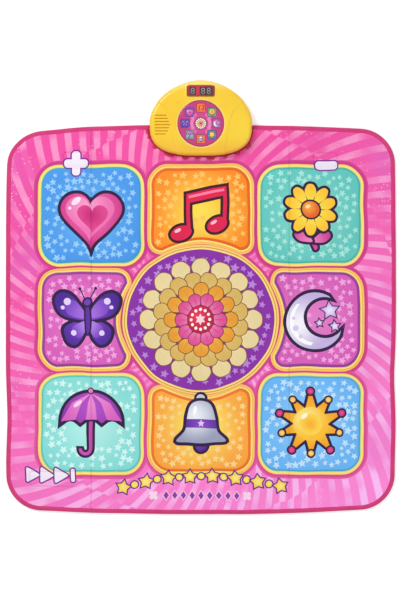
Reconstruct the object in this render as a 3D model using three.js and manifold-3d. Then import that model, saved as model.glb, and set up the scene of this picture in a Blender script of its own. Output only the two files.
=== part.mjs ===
// An electronic dance mat: a soft floor mat with eight step keys, and a controller clamped over its
// rear edge. Millimetres. The floor is z = 0, +Y runs from the player's edge to the controller, and
// +X to the player's right.
// The origin is the middle of the mat, on the floor.

import * as THREE from "three";
import { mergeVertices } from "three/addons/utils/BufferGeometryUtils.js";
import Module from "manifold-3d";

const wasm = await Module();
wasm.setup();

// Gaps and overruns shared by all pieces
const CLEARANCE = 0.3;
const LOOSE_CLEARANCE = 0.6;
const OVERRUN = 1;
const WELD_DISTANCE = 0.0001;

// Plan of the mat: a rectangle with round corners, whose ends and sides bow outwards
const MAT_WIDTH = 902;
const MAT_LENGTH = 880;
const MAT_CORNER_RADIUS = 78;
const MAT_SIDE_BOW = 2;
const MAT_END_BOW = 12;

// Layers of the mat, from the floor up
const BACKING_THICKNESS = 3;
const FILM_THICKNESS = 0.3;
const FILM_MARGIN = 14;
const KEY_TRAVEL = 1.2;
const SPACER_SQUEEZED = 0.6;
const CONTACT_THICKNESS = 0.3;
const PAD_THICKNESS = 1.8;
const COVER_THICKNESS = 0.6;

// Folded fabric binding round the rim
const BINDING_WIDTH = 9;
const BINDING_THICKNESS = 0.6;

// Step keys: a ring of eight tiles in three rows, round an open middle
const TILE_SIDE_MARGIN = 81.5;
const TILE_END_MARGIN = 100;
const TILE_GAP_ACROSS = 25.5;
const TILE_GAP_ALONG = 22.4;
const TILE_CORNER_RADIUS = 42;
const SIDE_TILE_CUTBACK = 32;
const END_TILE_CUTBACK = 28;
const TILE_HOLLOW = 24;
const TILE_TIP = 26;
const CROWN_EDGE = 8;
const CROWN_EDGE_RISE_SHARE = 0.55;
const CROWN_EDGE_INSET_SHARE = 0.4;
const CROWN_MIDDLE_SHARE = 0.7;
const CROWN_MIDDLE_RISE = 0.4;
const PAD_MARGIN = 5;
const PAD_BEVEL = 4;
const PAD_EDGE_HEIGHT = 0.5;
const CONTACT_MARGIN = 14;
const SENSE_HOLE_RADIUS = 16;
const SENSE_HOLE_INSET = 54;

// Small touch keys printed beside the tiles: volume up, volume down and start
const SMALL_KEY_RISE_EDGE = 5;
const SMALL_KEY_CORNER_RADIUS = 9;
const SMALL_KEY_HEIGHT = 34;
const VOLUME_KEY_WIDTH = 56;
const VOLUME_KEY_OUTSET = 35;
const START_KEY_WIDTH = 124;
const START_KEY_OUTSET = 83;
const SMALL_KEY_GAP = 2;
const SMALL_PAD_MARGIN = 3.4;
const SMALL_PAD_BEVEL = 2.6;
const SMALL_SENSE_HOLE_RADIUS = 5;

// Controller plan: two half superellipses that meet at its widest line
const CONTROLLER_HALF_WIDTH = 119;
const CONTROLLER_FRONT_DEPTH = 76.6;
const CONTROLLER_REAR_DEPTH = 96.8;
const FRONT_ROUNDNESS = 3;
const REAR_ROUNDNESS = 1.82;
const CONTROLLER_OVERLAP = 71;

// Controller casing
const SHELL_WALL = 2.2;
const SIDE_TOP_Z = 22;
const EDGE_ROUND_WIDTH = 9;
const EDGE_ROUND_HEIGHT = 11.4;
const ROOF_CROWN = 0.6;
const FACE_RISE = 1.2;
const FACE_SIDE_STEP = 0.8;

// Raised face of the casing: half widths, and how far each lies behind the casing's front edge
const FACE_FOOT_HALF_WIDTH = 55;
const FACE_WAIST_HALF_WIDTH = 60;
const FACE_WAIST_BACK = 38;
const FACE_SHOULDER_HALF_WIDTH = 73;
const FACE_SHOULDER_BACK = 97;
const FACE_FLARE_HALF_WIDTH = 99;
const FACE_FLARE_BACK = 122.5;

// Dial and its light chambers
const DIAL_RADIUS = 53.7;
const DIAL_SET_FORWARD = 3.3;
const LEDGE_WIDTH = 2.6;
const LEDGE_THICKNESS = 1.4;
const DIAL_PROUD = 0.5;
const DIAL_CROWN = 0.6;
const DIAL_CHAMFER = 0.5;
const ICON_SIZE = 20.4;
const ICON_CORNER_RADIUS = 3.4;
const ICON_DEPTH = 0.3;
const ICON_RIM_MARGIN = 7.1;
const CHAMBER_SIZE = 17.6;
const CHAMBER_CORNER_RADIUS = 2;
const BAFFLE_MARGIN = 2;
const BOARD_MARGIN = 1;
const LED_RADIUS = 2.5;
const LED_FLANGE_RADIUS = 2.9;
const LED_FLANGE_HEIGHT = 0.6;
const LED_BODY_HEIGHT = 2;
const LED_DOME_HEIGHT = 1.5;

// Score display
const WINDOW_WIDTH = 64.6;
const WINDOW_DEPTH = 26.2;
const WINDOW_CORNER_RADIUS = 4.5;
const WINDOW_SET_BACK = 24.8;
const WINDOW_THICKNESS = 2;
const BEZEL_WIDTH = 1.8;
const DIGIT_MODULE_WIDTH = 12.8;
const DIGIT_MODULE_DEPTH = 19;
const DIGIT_MODULE_GAP = 10.4;
const DIGIT_WIDTH = 7.4;
const DIGIT_HEIGHT = 14.2;
const SEGMENT_WIDTH = 1.6;
const SEGMENT_DEPTH = 0.4;
const SEGMENT_GAP = 0.5;

// Sound slots in the left cheek, and the speaker under them
const SLOT_LENGTH = 35.5;
const SLOT_WIDTH = 2.2;
const SLOT_PITCH = 7.25;
const SLOT_START = 12.5;
const SLOT_LENGTH_SHARES = [0.76, 0.86, 0.92, 1, 0.92, 0.86, 0.74];
const SPEAKER_RADIUS = 18;
const SPEAKER_HEIGHT = 8.4;
const SPEAKER_RIM_HEIGHT = 1.6;
const SPEAKER_RIM_WIDTH = 2;
const SPEAKER_BASKET_FOOT_RADIUS = 10;
const SPEAKER_METAL = 1;
const SPEAKER_SET_IN = 33;
const SPEAKER_SET_FORWARD = 3;
const MAGNET_RADIUS = 8.5;
const MAGNET_HEIGHT = 3.6;
const CONE_THROAT_RADIUS = 5;
const CONE_THICKNESS = 0.6;
const DUST_CAP_RISE = 2;
const COLLAR_WALL = 1.6;
const COLLAR_HEIGHT = 5;

// Circuit board and what it carries
const BOARD_Z = 21;
const BOARD_THICKNESS = 1.6;
const BOARD_REAR_HALF_WIDTH = 43;
const BOARD_FRONT_HALF_WIDTH = 18;
const BOARD_EDGE = 5;
const POST_RADIUS = 2.6;
const CHIP_WIDTH = 12;
const CHIP_DEPTH = 9;
const CHIP_HEIGHT = 2;
const TAIL_WIDTH = 36;
const TAIL_LIP = 9;
const CLAMP_BAR_HEIGHT = 1.8;
const CLAMP_BAR_DEPTH = 6;

// Battery bay: three penlight cells side by side over a hinged door
const CELL_RADIUS = 7.25;
const CELL_LENGTH = 49.3;
const CELL_NUB_RADIUS = 2.7;
const CELL_NUB_HEIGHT = 1.2;
const CELL_COUNT = 3;
const SPRING_LENGTH = 5.5;
const SPRING_BASE_RADIUS = 4.6;
const SPRING_TIP_RADIUS = 2.6;
const SPRING_WIRE_RADIUS = 0.45;
const SPRING_TURNS = 3;
const TERMINAL_THICKNESS = 0.5;
const TERMINAL_WIDTH = 11;
const TERMINAL_HEIGHT = 12;
const BAY_WALL = 1.6;
const BAY_SIDE_MARGIN = 31;
const DOOR_THICKNESS = 2;
const DOOR_PIN_RADIUS = 0.65;
const DOOR_PIN_LENGTH = 1.6;
const DOOR_EAR_WIDTH = 13;
const DOOR_EAR_REACH = 7.5;
const DOOR_SCREW_GRIP = 2.2;
const DOOR_POST_HEIGHT = 5;

// Power switch in the rear wall
const SWITCH_WIDTH = 20;
const SWITCH_DEPTH = 9;
const SWITCH_HEIGHT = 9;
const SWITCH_Z = 8;
const SWITCH_TRAVEL = 4;
const SWITCH_SET_FORWARD = 1;
const KNOB_WIDTH = 6;
const KNOB_HEIGHT = 4.4;
const KNOB_RECESS = 0.6;
const KNOB_RIB_DEPTH = 0.5;
const KNOB_RIBS = 3;
const CARRIAGE_DEPTH = 3;
const CARRIAGE_LIP = 0.8;

// Screws and their bosses
const SCREW_RADIUS = 1.5;
const SCREW_HEAD_RADIUS = 2.7;
const SCREW_HEAD_HEIGHT = 1.3;
const SCREW_LENGTH = 15;
const DRIVE_RADIUS = 1.2;
const DRIVE_DEPTH = 0.7;
const BOSS_RADIUS = 4;
const FRONT_SCREW_SET_IN = 31;
const FRONT_SCREW_BACK = 24;
const REAR_SCREW_X = 50;
const REAR_SCREW_FORWARD = 3;

// Counts of facets, which set only how smooth a round is
const MAT_CORNER_STEPS = 6;
const MAT_EDGE_STEPS = 6;
const TILE_CORNER_STEPS = 5;
const TILE_HOLLOW_STEPS = 6;
const SMALL_CORNER_STEPS = 3;
const CONTROLLER_STEPS = 64;
const EDGE_ROUND_STEPS = 4;
const DIAL_STEPS = 40;
const ROUND_STEPS = 20;
const SCREW_STEPS = 10;
const HOLE_STEPS = 10;
const SPRING_STEPS_PER_TURN = 8;
const LED_STEPS = 8;
const WIRE_SIDES = 5;

// Levels that follow from the layers
const FILM_Z = BACKING_THICKNESS;
const SPACER_Z = FILM_Z + FILM_THICKNESS;
const SPACER_THICKNESS = KEY_TRAVEL + SPACER_SQUEEZED;
const COVER_Z = SPACER_Z + SPACER_THICKNESS;
const COVER_TOP_Z = COVER_Z + COVER_THICKNESS;
const PAD_Z = COVER_Z + CONTACT_THICKNESS;
const PAD_TOP_Z = PAD_Z + PAD_THICKNESS;
const BINDING_TOP_Z = COVER_TOP_Z + BINDING_THICKNESS;
const SEAM_Z = COVER_TOP_Z + CLEARANCE;
const TRAY_THICKNESS = BACKING_THICKNESS - CLEARANCE;
const ROOF_EDGE_Z = SIDE_TOP_Z + EDGE_ROUND_HEIGHT;
const ROOF_INSIDE_Z = ROOF_EDGE_Z - SHELL_WALL;
const FACE_EDGE_Z = ROOF_EDGE_Z + FACE_RISE;
const LEDGE_Z = ROOF_INSIDE_Z + LEDGE_THICKNESS;
const BOARD_TOP_Z = BOARD_Z + BOARD_THICKNESS;

// Places that follow from the plan
const MAT_REAR_Y = MAT_LENGTH / 2 + MAT_END_BOW;
const LAYER_INSET = BINDING_THICKNESS + CLEARANCE;
const TILE_WIDTH = (MAT_WIDTH - 2 * TILE_SIDE_MARGIN - 2 * TILE_GAP_ACROSS) / 3;
const TILE_HEIGHT = (2 * MAT_REAR_Y - 2 * TILE_END_MARGIN - 2 * TILE_GAP_ALONG) / 3;
const TILE_COLUMN_X = TILE_WIDTH + TILE_GAP_ACROSS;
const TILE_ROW_Y = TILE_HEIGHT + TILE_GAP_ALONG;
const CONTROLLER_FRONT_Y = MAT_REAR_Y - CONTROLLER_OVERLAP;
const CONTROLLER_Y = CONTROLLER_FRONT_Y + CONTROLLER_FRONT_DEPTH;
const CONTROLLER_REAR_Y = CONTROLLER_Y + CONTROLLER_REAR_DEPTH;
const DIAL_Y = CONTROLLER_Y - DIAL_SET_FORWARD;
const ICON_RING_RADIUS = DIAL_RADIUS - ICON_RIM_MARGIN - ICON_SIZE / 2;
const BAFFLE_RADIUS = DIAL_RADIUS - LEDGE_WIDTH - BAFFLE_MARGIN;
const BOARD_RADIUS = BAFFLE_RADIUS - BOARD_MARGIN;
const WINDOW_Y = CONTROLLER_REAR_Y - WINDOW_SET_BACK;
const SPEAKER_X = SPEAKER_SET_IN - CONTROLLER_HALF_WIDTH;
const SPEAKER_Y = DIAL_Y - SPEAKER_SET_FORWARD;
const FRONT_SCREW_X = CONTROLLER_HALF_WIDTH - FRONT_SCREW_SET_IN;
const FRONT_SCREW_Y = CONTROLLER_FRONT_Y + FRONT_SCREW_BACK;
const REAR_SCREW_Y = WINDOW_Y - REAR_SCREW_FORWARD;
const RIB_Y = MAT_REAR_Y + CLEARANCE;
const SCREW_PLACES = [
  [-FRONT_SCREW_X, FRONT_SCREW_Y],
  [FRONT_SCREW_X, FRONT_SCREW_Y],
  [-REAR_SCREW_X, REAR_SCREW_Y],
  [REAR_SCREW_X, REAR_SCREW_Y],
];

// Finishes
const finish = (color, roughness, metalness = 0) =>
  new THREE.MeshStandardMaterial({ color, roughness, metalness, flatShading: true });
const FOAM_GREY = finish(0x6a6d74, 0.95);
const FILM_CLEAR = finish(0xc9d3d8, 0.35);
const FOAM_WHITE = finish(0xf1efe9, 0.95);
const PRINTED_PINK = finish(0xf2469b, 0.75);
const BINDING_CRIMSON = finish(0xc92465, 0.85);
const CARBON_BLACK = finish(0x26282c, 0.8);
const CASE_YELLOW = finish(0xfcd32a, 0.35);
const DIAL_MAGENTA = finish(0xd63384, 0.2);
const WINDOW_RED = finish(0xc41e3a, 0.12);
const DISPLAY_GREY = finish(0x8f9097, 0.45);
const DIFFUSER_WHITE = finish(0xf5f5f2, 0.5);
const BOARD_GREEN = finish(0x1f6b45, 0.5);
const CHIP_BLACK = finish(0x1a1a1c, 0.45);
const STEEL = finish(0xb9bcc0, 0.3, 1);
const PAPER_BLACK = finish(0x2b2b2d, 0.9);
const CELL_SLEEVE = finish(0x3f6fb5, 0.35);
const SWITCH_BLACK = finish(0x1c1c1e, 0.4);

// Outlines are lists of points, counter-clockwise when seen from above.

function arc(x, y, radius, from, to, steps) {
  return Array.from({ length: steps + 1 }, (_, i) => {
    const angle = from + ((to - from) * i) / steps;
    return new THREE.Vector2(x + radius * Math.cos(angle), y + radius * Math.sin(angle));
  });
}

function circle(x, y, radius, steps = ROUND_STEPS) {
  return arc(x, y, radius, 0, 2 * Math.PI, steps).slice(0, steps);
}

function rectangle(left, right, front, rear) {
  return [
    [left, front],
    [right, front],
    [right, rear],
    [left, rear],
  ].map(([x, y]) => new THREE.Vector2(x, y));
}

function roundedRectangle(x, y, width, height, radius, steps = SMALL_CORNER_STEPS) {
  const right = x + width / 2 - radius;
  const left = x - width / 2 + radius;
  const rear = y + height / 2 - radius;
  const front = y - height / 2 + radius;
  return [
    ...arc(right, rear, radius, 0, Math.PI / 2, steps),
    ...arc(left, rear, radius, Math.PI / 2, Math.PI, steps),
    ...arc(left, front, radius, Math.PI, 1.5 * Math.PI, steps),
    ...arc(right, front, radius, 1.5 * Math.PI, 2 * Math.PI, steps),
  ];
}

// Moves each point of an outline towards its inside, so that every edge moves by the same distance.
function inset(points, distance) {
  return points.map((point, i) => {
    const before = points[(i + points.length - 1) % points.length];
    const after = points[(i + 1) % points.length];
    const arriving = point.clone().sub(before).normalize();
    const along = after.clone().sub(point).normalize().add(arriving).normalize();
    const inwards = new THREE.Vector2(-along.y, along.x);
    const squareness = arriving.x * inwards.y - arriving.y * inwards.x;
    return point.clone().addScaledVector(inwards, distance / squareness);
  });
}

function shrunkTowards(points, x, y, share) {
  return points.map(
    (point) => new THREE.Vector2(x + (point.x - x) * share, y + (point.y - y) * share),
  );
}

// Puts extra points along an outline's straight edges, so that they can be bent.
function subdivided(points, steps) {
  return points.flatMap((point, i) => {
    const after = points[(i + 1) % points.length];
    const long = point.distanceTo(after) > MAT_CORNER_RADIUS;
    const count = long ? steps : 1;
    return Array.from({ length: count }, (_, k) => point.clone().lerp(after, k / count));
  });
}

function matOutline() {
  const corners = roundedRectangle(0, 0, MAT_WIDTH, MAT_LENGTH, MAT_CORNER_RADIUS, MAT_CORNER_STEPS);
  return subdivided(corners, MAT_EDGE_STEPS).map((point) => {
    const across = point.x / (MAT_WIDTH / 2);
    const along = point.y / (MAT_LENGTH / 2);
    const bow = new THREE.Vector2(
      across * MAT_SIDE_BOW * (1 - along * along),
      along * MAT_END_BOW * (1 - across * across),
    );
    return point.clone().add(bow);
  });
}

function controllerOutline() {
  return Array.from({ length: CONTROLLER_STEPS }, (_, i) => {
    const angle = (2 * Math.PI * i) / CONTROLLER_STEPS;
    const across = Math.cos(angle);
    const along = Math.sin(angle);
    const atRear = along >= 0;
    const power = 2 / (atRear ? REAR_ROUNDNESS : FRONT_ROUNDNESS);
    const depth = atRear ? CONTROLLER_REAR_DEPTH : CONTROLLER_FRONT_DEPTH;
    return new THREE.Vector2(
      CONTROLLER_HALF_WIDTH * Math.sign(across) * Math.abs(across) ** power,
      CONTROLLER_Y + depth * Math.sign(along) * Math.abs(along) ** power,
    );
  });
}

// A tile whose front edge is hollowed round the middle of the mat.
function hollowedTileOutline(width, depth) {
  const side = width / 2;
  const front = -depth / 2;
  const rear = depth / 2;
  const reach = side - TILE_TIP;
  const corner = side - TILE_CORNER_RADIUS;
  const hollow = new THREE.QuadraticBezierCurve(
    new THREE.Vector2(-reach, front),
    new THREE.Vector2(0, front + 2 * TILE_HOLLOW),
    new THREE.Vector2(reach, front),
  );
  const tip = new THREE.QuadraticBezierCurve(
    new THREE.Vector2(reach, front),
    new THREE.Vector2(side, front),
    new THREE.Vector2(side, front + TILE_TIP),
  );
  const rightTip = tip.getPoints(SMALL_CORNER_STEPS).slice(1);
  const leftTip = rightTip.map((point) => new THREE.Vector2(-point.x, point.y)).reverse();
  return [
    ...hollow.getPoints(TILE_HOLLOW_STEPS),
    ...rightTip,
    ...arc(corner, rear - TILE_CORNER_RADIUS, TILE_CORNER_RADIUS, 0, Math.PI / 2, TILE_CORNER_STEPS),
    ...arc(-corner, rear - TILE_CORNER_RADIUS, TILE_CORNER_RADIUS, Math.PI / 2, Math.PI, TILE_CORNER_STEPS),
    ...leftTip,
  ];
}

function turned(points, angle) {
  return points.map((point) => point.clone().rotateAround(new THREE.Vector2(), angle));
}

// Solids

function solid(geometry) {
  geometry.deleteAttribute("normal");
  geometry.deleteAttribute("uv");
  const merged = mergeVertices(geometry, WELD_DISTANCE);
  const vertProperties = new Float32Array(merged.getAttribute("position").array);
  const triVerts = new Uint32Array(merged.getIndex().array);
  return new wasm.Manifold(new wasm.Mesh({ numProp: 3, vertProperties, triVerts }));
}

function joined(first, ...others) {
  return others.reduce((sum, other) => sum.add(other), first);
}

function cut(first, ...others) {
  return others.reduce((rest, other) => rest.subtract(other), first);
}

// A straight-sided plate between two levels, with holes if outlines for them are given.
function plate(points, bottom, top, holes = []) {
  const shape = new THREE.Shape(points);
  shape.holes = holes.map((hole) => new THREE.Path(hole));
  const geometry = new THREE.ExtrudeGeometry(shape, { depth: top - bottom, bevelEnabled: false });
  const levels = geometry.getAttribute("position");
  for (let i = 0; i < levels.count; i++) levels.setZ(i, levels.getZ(i) > 0 ? top : bottom);
  return solid(geometry);
}

// A solid skinned over outlines with as many points each, given from the lowest to the highest.
function loft(sections) {
  const count = sections[0].points.length;
  const positions = sections.flatMap(({ points, z }) => points.flatMap((point) => [point.x, point.y, z]));
  const faces = [];
  for (let s = 0; s + 1 < sections.length; s++) {
    for (let i = 0; i < count; i++) {
      const j = (i + 1) % count;
      const lower = s * count;
      const upper = lower + count;
      faces.push(lower + i, lower + j, upper + j, lower + i, upper + j, upper + i);
    }
  }
  const last = (sections.length - 1) * count;
  for (const [a, b, c] of capFaces(sections[0].points)) faces.push(c, b, a);
  for (const [a, b, c] of capFaces(sections.at(-1).points)) faces.push(last + a, last + b, last + c);
  const geometry = new THREE.BufferGeometry();
  geometry.setAttribute("position", new THREE.Float32BufferAttribute(positions, 3));
  geometry.setIndex(faces);
  return solid(geometry);
}

// Triangles that fill an outline, each counter-clockwise.
function capFaces(points) {
  return THREE.ShapeUtils.triangulateShape(points.slice(), []).map(([a, b, c]) => {
    const clockwise = THREE.ShapeUtils.isClockWise([points[a], points[b], points[c]]);
    return clockwise ? [c, b, a] : [a, b, c];
  });
}

// A round solid about an upright axis, from pairs of radius and level that start and end on the axis.
function turnedSolid(x, y, profile, steps = ROUND_STEPS) {
  const points = profile.map(([radius, level]) => new THREE.Vector2(radius, level));
  const geometry = new THREE.LatheGeometry(points, steps);
  geometry.rotateX(Math.PI / 2);
  geometry.translate(x, y, 0);
  return solid(geometry);
}

function rod(x, y, radius, bottom, top, steps = ROUND_STEPS) {
  return plate(circle(x, y, radius, steps), bottom, top);
}

function block(left, right, front, rear, bottom, top) {
  return plate(rectangle(left, right, front, rear), bottom, top);
}

const danceMat = new THREE.Group();
const controller = new THREE.Group();
danceMat.add(controller);

function addPiece(name, shape, material, parent = danceMat) {
  const made = shape.getMesh();
  const geometry = new THREE.BufferGeometry();
  geometry.setAttribute("position", new THREE.BufferAttribute(new Float32Array(made.vertProperties), 3));
  geometry.setIndex(new THREE.BufferAttribute(new Uint32Array(made.triVerts), 1));
  geometry.computeVertexNormals();
  const piece = new THREE.Mesh(geometry, material);
  piece.name = name;
  parent.add(piece);
  return piece;
}

// The tiles, numbered by rows from the rear left, with the open middle left out.

function tilePlan() {
  const corner = roundedRectangle(0, 0, TILE_WIDTH, TILE_HEIGHT, TILE_CORNER_RADIUS, TILE_CORNER_STEPS);
  const end = hollowedTileOutline(TILE_WIDTH, TILE_HEIGHT - END_TILE_CUTBACK);
  const side = hollowedTileOutline(TILE_HEIGHT, TILE_WIDTH - SIDE_TILE_CUTBACK);
  const endY = TILE_ROW_Y + END_TILE_CUTBACK / 2;
  const sideX = TILE_COLUMN_X + SIDE_TILE_CUTBACK / 2;
  return [
    { x: -TILE_COLUMN_X, y: TILE_ROW_Y, outline: corner },
    { x: 0, y: endY, outline: end },
    { x: TILE_COLUMN_X, y: TILE_ROW_Y, outline: corner },
    { x: -sideX, y: 0, outline: turned(side, Math.PI / 2) },
    { x: sideX, y: 0, outline: turned(side, -Math.PI / 2) },
    { x: -TILE_COLUMN_X, y: -TILE_ROW_Y, outline: corner },
    { x: 0, y: -endY, outline: turned(end, Math.PI) },
    { x: TILE_COLUMN_X, y: -TILE_ROW_Y, outline: corner },
  ];
}

// The small keys lie just outside the rows of tiles, towards the rear and the front.
function smallKeyPlan() {
  const beside = TILE_ROW_Y + TILE_HEIGHT / 2 + SMALL_KEY_GAP + SMALL_KEY_HEIGHT / 2;
  const volumeX = TILE_COLUMN_X + VOLUME_KEY_OUTSET;
  const startX = TILE_COLUMN_X + START_KEY_OUTSET;
  const key = (width) => roundedRectangle(0, 0, width, SMALL_KEY_HEIGHT, SMALL_KEY_CORNER_RADIUS);
  return [
    { name: "volume_up_pad", x: -volumeX, y: beside, outline: key(VOLUME_KEY_WIDTH) },
    { name: "volume_down_pad", x: volumeX, y: beside, outline: key(VOLUME_KEY_WIDTH) },
    { name: "start_pad", x: -startX, y: -beside, outline: key(START_KEY_WIDTH) },
  ];
}

const tiles = tilePlan();
const smallKeys = smallKeyPlan();
const matEdge = matOutline();
const controllerEdge = controllerOutline();

function frontScrewHoles(radius) {
  return SCREW_PLACES.slice(0, 2).map(([x, y]) => circle(x, y, radius, HOLE_STEPS));
}

// Mat layers

// Non-slip foam: its rim is rebated for the binding's lower flange, and it stops round the controller's tray.
function backingSheet() {
  const full = inset(matEdge, LAYER_INSET);
  const rebated = inset(matEdge, BINDING_WIDTH + CLEARANCE);
  const sheet = loft([
    { points: rebated, z: 0 },
    { points: rebated, z: BINDING_THICKNESS },
    { points: full, z: BINDING_THICKNESS },
    { points: full, z: BACKING_THICKNESS },
  ]);
  return cut(sheet, plate(inset(controllerEdge, -CLEARANCE), -OVERRUN, BACKING_THICKNESS + OVERRUN));
}

// Printed sensor film, with the tail that rises behind the mat and folds under the circuit board.
function sensorFilm() {
  const sheet = plate(inset(matEdge, FILM_MARGIN), FILM_Z, SPACER_Z, frontScrewHoles(BOSS_RADIUS));
  const tailY = RIB_Y + SHELL_WALL + CLEARANCE;
  const lipZ = BOARD_Z - CLEARANCE;
  const strip = [
    [MAT_REAR_Y - FILM_MARGIN - OVERRUN, FILM_Z],
    [tailY + FILM_THICKNESS, FILM_Z],
    [tailY + FILM_THICKNESS, lipZ],
    [tailY - TAIL_LIP, lipZ],
    [tailY - TAIL_LIP, lipZ - FILM_THICKNESS],
    [tailY, lipZ - FILM_THICKNESS],
    [tailY, SPACER_Z],
    [MAT_REAR_Y - FILM_MARGIN - OVERRUN, SPACER_Z],
  ];
  const tail = new THREE.ExtrudeGeometry(new THREE.Shape(strip.map(([y, z]) => new THREE.Vector2(y, z))), {
    depth: TAIL_WIDTH,
    bevelEnabled: false,
  });
  // The strip was drawn with Y across and Z up, so its width is turned to run along X.
  tail.applyMatrix4(
    new THREE.Matrix4().makeBasis(
      new THREE.Vector3(0, 1, 0),
      new THREE.Vector3(0, 0, 1),
      new THREE.Vector3(1, 0, 0),
    ),
  );
  tail.translate(-TAIL_WIDTH / 2, 0, 0);
  return joined(sheet, solid(tail));
}

// Open-cell spacer, with round windows through which a pressed key reaches the film.
function spacerFoam() {
  const across = TILE_WIDTH / 2 - SENSE_HOLE_INSET;
  const along = TILE_HEIGHT / 2 - SENSE_HOLE_INSET;
  const quincunx = [
    [0, 0],
    [-across, -along],
    [across, -along],
    [across, along],
    [-across, along],
  ];
  const tileHoles = tiles.flatMap(({ x, y }) =>
    quincunx.map(([dx, dy]) => circle(x + dx, y + dy, SENSE_HOLE_RADIUS, HOLE_STEPS)),
  );
  const smallHoles = smallKeys.map(({ x, y }) => circle(x, y, SMALL_SENSE_HOLE_RADIUS, HOLE_STEPS));
  const holes = [...tileHoles, ...smallHoles, ...frontScrewHoles(BOSS_RADIUS)];
  return plate(inset(matEdge, LAYER_INSET), SPACER_Z, COVER_Z, holes);
}

// The crown that the cover takes over a key. Below is the same form, drawn in by the cover's thickness.
function crown({ x, y, outline, edge, hasMiddle }, drop) {
  const top = PAD_TOP_Z + CLEARANCE + COVER_THICKNESS;
  const rise = top - COVER_TOP_Z;
  const sections = [
    { points: inset(outline, drop), z: COVER_Z - (drop > 0 ? OVERRUN : 0) },
    { points: inset(outline, drop), z: COVER_TOP_Z - drop },
    {
      points: inset(outline, drop + edge * CROWN_EDGE_INSET_SHARE),
      z: COVER_TOP_Z + rise * CROWN_EDGE_RISE_SHARE - drop,
    },
    { points: inset(outline, drop + edge), z: top - drop },
  ];
  if (hasMiddle) {
    const points = shrunkTowards(sections.at(-1).points, 0, 0, CROWN_MIDDLE_SHARE);
    sections.push({ points, z: top + CROWN_MIDDLE_RISE - drop });
  }
  return loft(sections).translate([x, y, 0]);
}

function coverCloth() {
  const sheet = plate(inset(matEdge, LAYER_INSET), COVER_Z, COVER_TOP_Z, frontScrewHoles(BOSS_RADIUS));
  const keys = [
    ...tiles.map((tile) => ({ ...tile, edge: CROWN_EDGE, hasMiddle: true })),
    ...smallKeys.map((key) => ({ ...key, edge: SMALL_KEY_RISE_EDGE, hasMiddle: false })),
  ];
  const crowns = (drop) => keys.map((key) => crown(key, drop));
  return cut(joined(sheet, ...crowns(0)), ...crowns(COVER_THICKNESS));
}

// Folded tape round the rim, whose two ends are tucked in beside the controller.
function edgeBinding() {
  const outside = loft([
    { points: inset(matEdge, BINDING_THICKNESS), z: 0 },
    { points: matEdge, z: BINDING_THICKNESS },
    { points: matEdge, z: COVER_TOP_Z },
    { points: inset(matEdge, BINDING_THICKNESS), z: BINDING_TOP_Z },
  ]);
  const channel = plate(inset(matEdge, BINDING_THICKNESS), BINDING_THICKNESS, COVER_TOP_Z);
  const middle = plate(inset(matEdge, BINDING_WIDTH), -OVERRUN, BINDING_TOP_Z + OVERRUN);
  const end = CONTROLLER_HALF_WIDTH + CLEARANCE;
  const front = CONTROLLER_FRONT_Y;
  const gap = block(-end, end, front, CONTROLLER_REAR_Y, -OVERRUN, BINDING_TOP_Z + OVERRUN);
  return cut(outside, channel, middle, gap);
}

function keyPad(outline) {
  const sole = inset(outline, PAD_MARGIN);
  return loft([
    { points: sole, z: PAD_Z },
    { points: sole, z: PAD_Z + PAD_EDGE_HEIGHT },
    { points: inset(outline, PAD_MARGIN + PAD_BEVEL), z: PAD_TOP_Z },
  ]);
}

function keyContact(outline) {
  return plate(inset(outline, CONTACT_MARGIN), COVER_Z, PAD_Z);
}

// A small key's pad carries its contact patch in one moulding.
function smallKeyPad(outline) {
  const patch = inset(outline, SMALL_PAD_MARGIN + SMALL_PAD_BEVEL);
  const sole = inset(outline, SMALL_PAD_MARGIN);
  return loft([
    { points: patch, z: COVER_Z },
    { points: patch, z: PAD_Z },
    { points: sole, z: PAD_Z },
    { points: sole, z: PAD_Z + PAD_EDGE_HEIGHT },
    { points: patch, z: PAD_TOP_Z },
  ]);
}

addPiece("backing_sheet", backingSheet(), FOAM_GREY);
addPiece("sensor_film", sensorFilm(), FILM_CLEAR);
addPiece("spacer_foam", spacerFoam(), FOAM_WHITE);
addPiece("cover_cloth", coverCloth(), PRINTED_PINK);
addPiece("edge_binding", edgeBinding(), BINDING_CRIMSON);
tiles.forEach(({ x, y, outline }, i) => {
  const key = new THREE.Group();
  key.position.set(x, y, 0);
  danceMat.add(key);
  addPiece(`key_pad_${i + 1}`, keyPad(outline), FOAM_WHITE, key);
  addPiece(`key_contact_${i + 1}`, keyContact(outline), CARBON_BLACK, key);
});
for (const { name, x, y, outline } of smallKeys) {
  addPiece(name, smallKeyPad(outline), FOAM_WHITE).position.set(x, y, 0);
}

// Controller casing

// The outer form of the casing, grown sideways and upwards for its raised face.
function casingForm(growth, rise) {
  const edge = inset(controllerEdge, -growth);
  const sections = [{ points: edge, z: SEAM_Z }];
  for (let i = 0; i <= EDGE_ROUND_STEPS; i++) {
    const angle = (Math.PI / 2) * (i / EDGE_ROUND_STEPS);
    const rounded = inset(edge, EDGE_ROUND_WIDTH * (1 - Math.cos(angle)));
    sections.push({ points: rounded, z: SIDE_TOP_Z + rise + EDGE_ROUND_HEIGHT * Math.sin(angle) });
  }
  return loft([...sections, ...crownedRoof(sections.at(-1))]);
}

// Two drawn-in rings that crown a flat top.
function crownedRoof({ points, z }) {
  const ringShares = [0.7, 0.35];
  return ringShares.map((share) => ({
    points: shrunkTowards(points, 0, CONTROLLER_Y, share),
    z: z + ROOF_CROWN * (1 - share * share),
  }));
}

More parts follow.
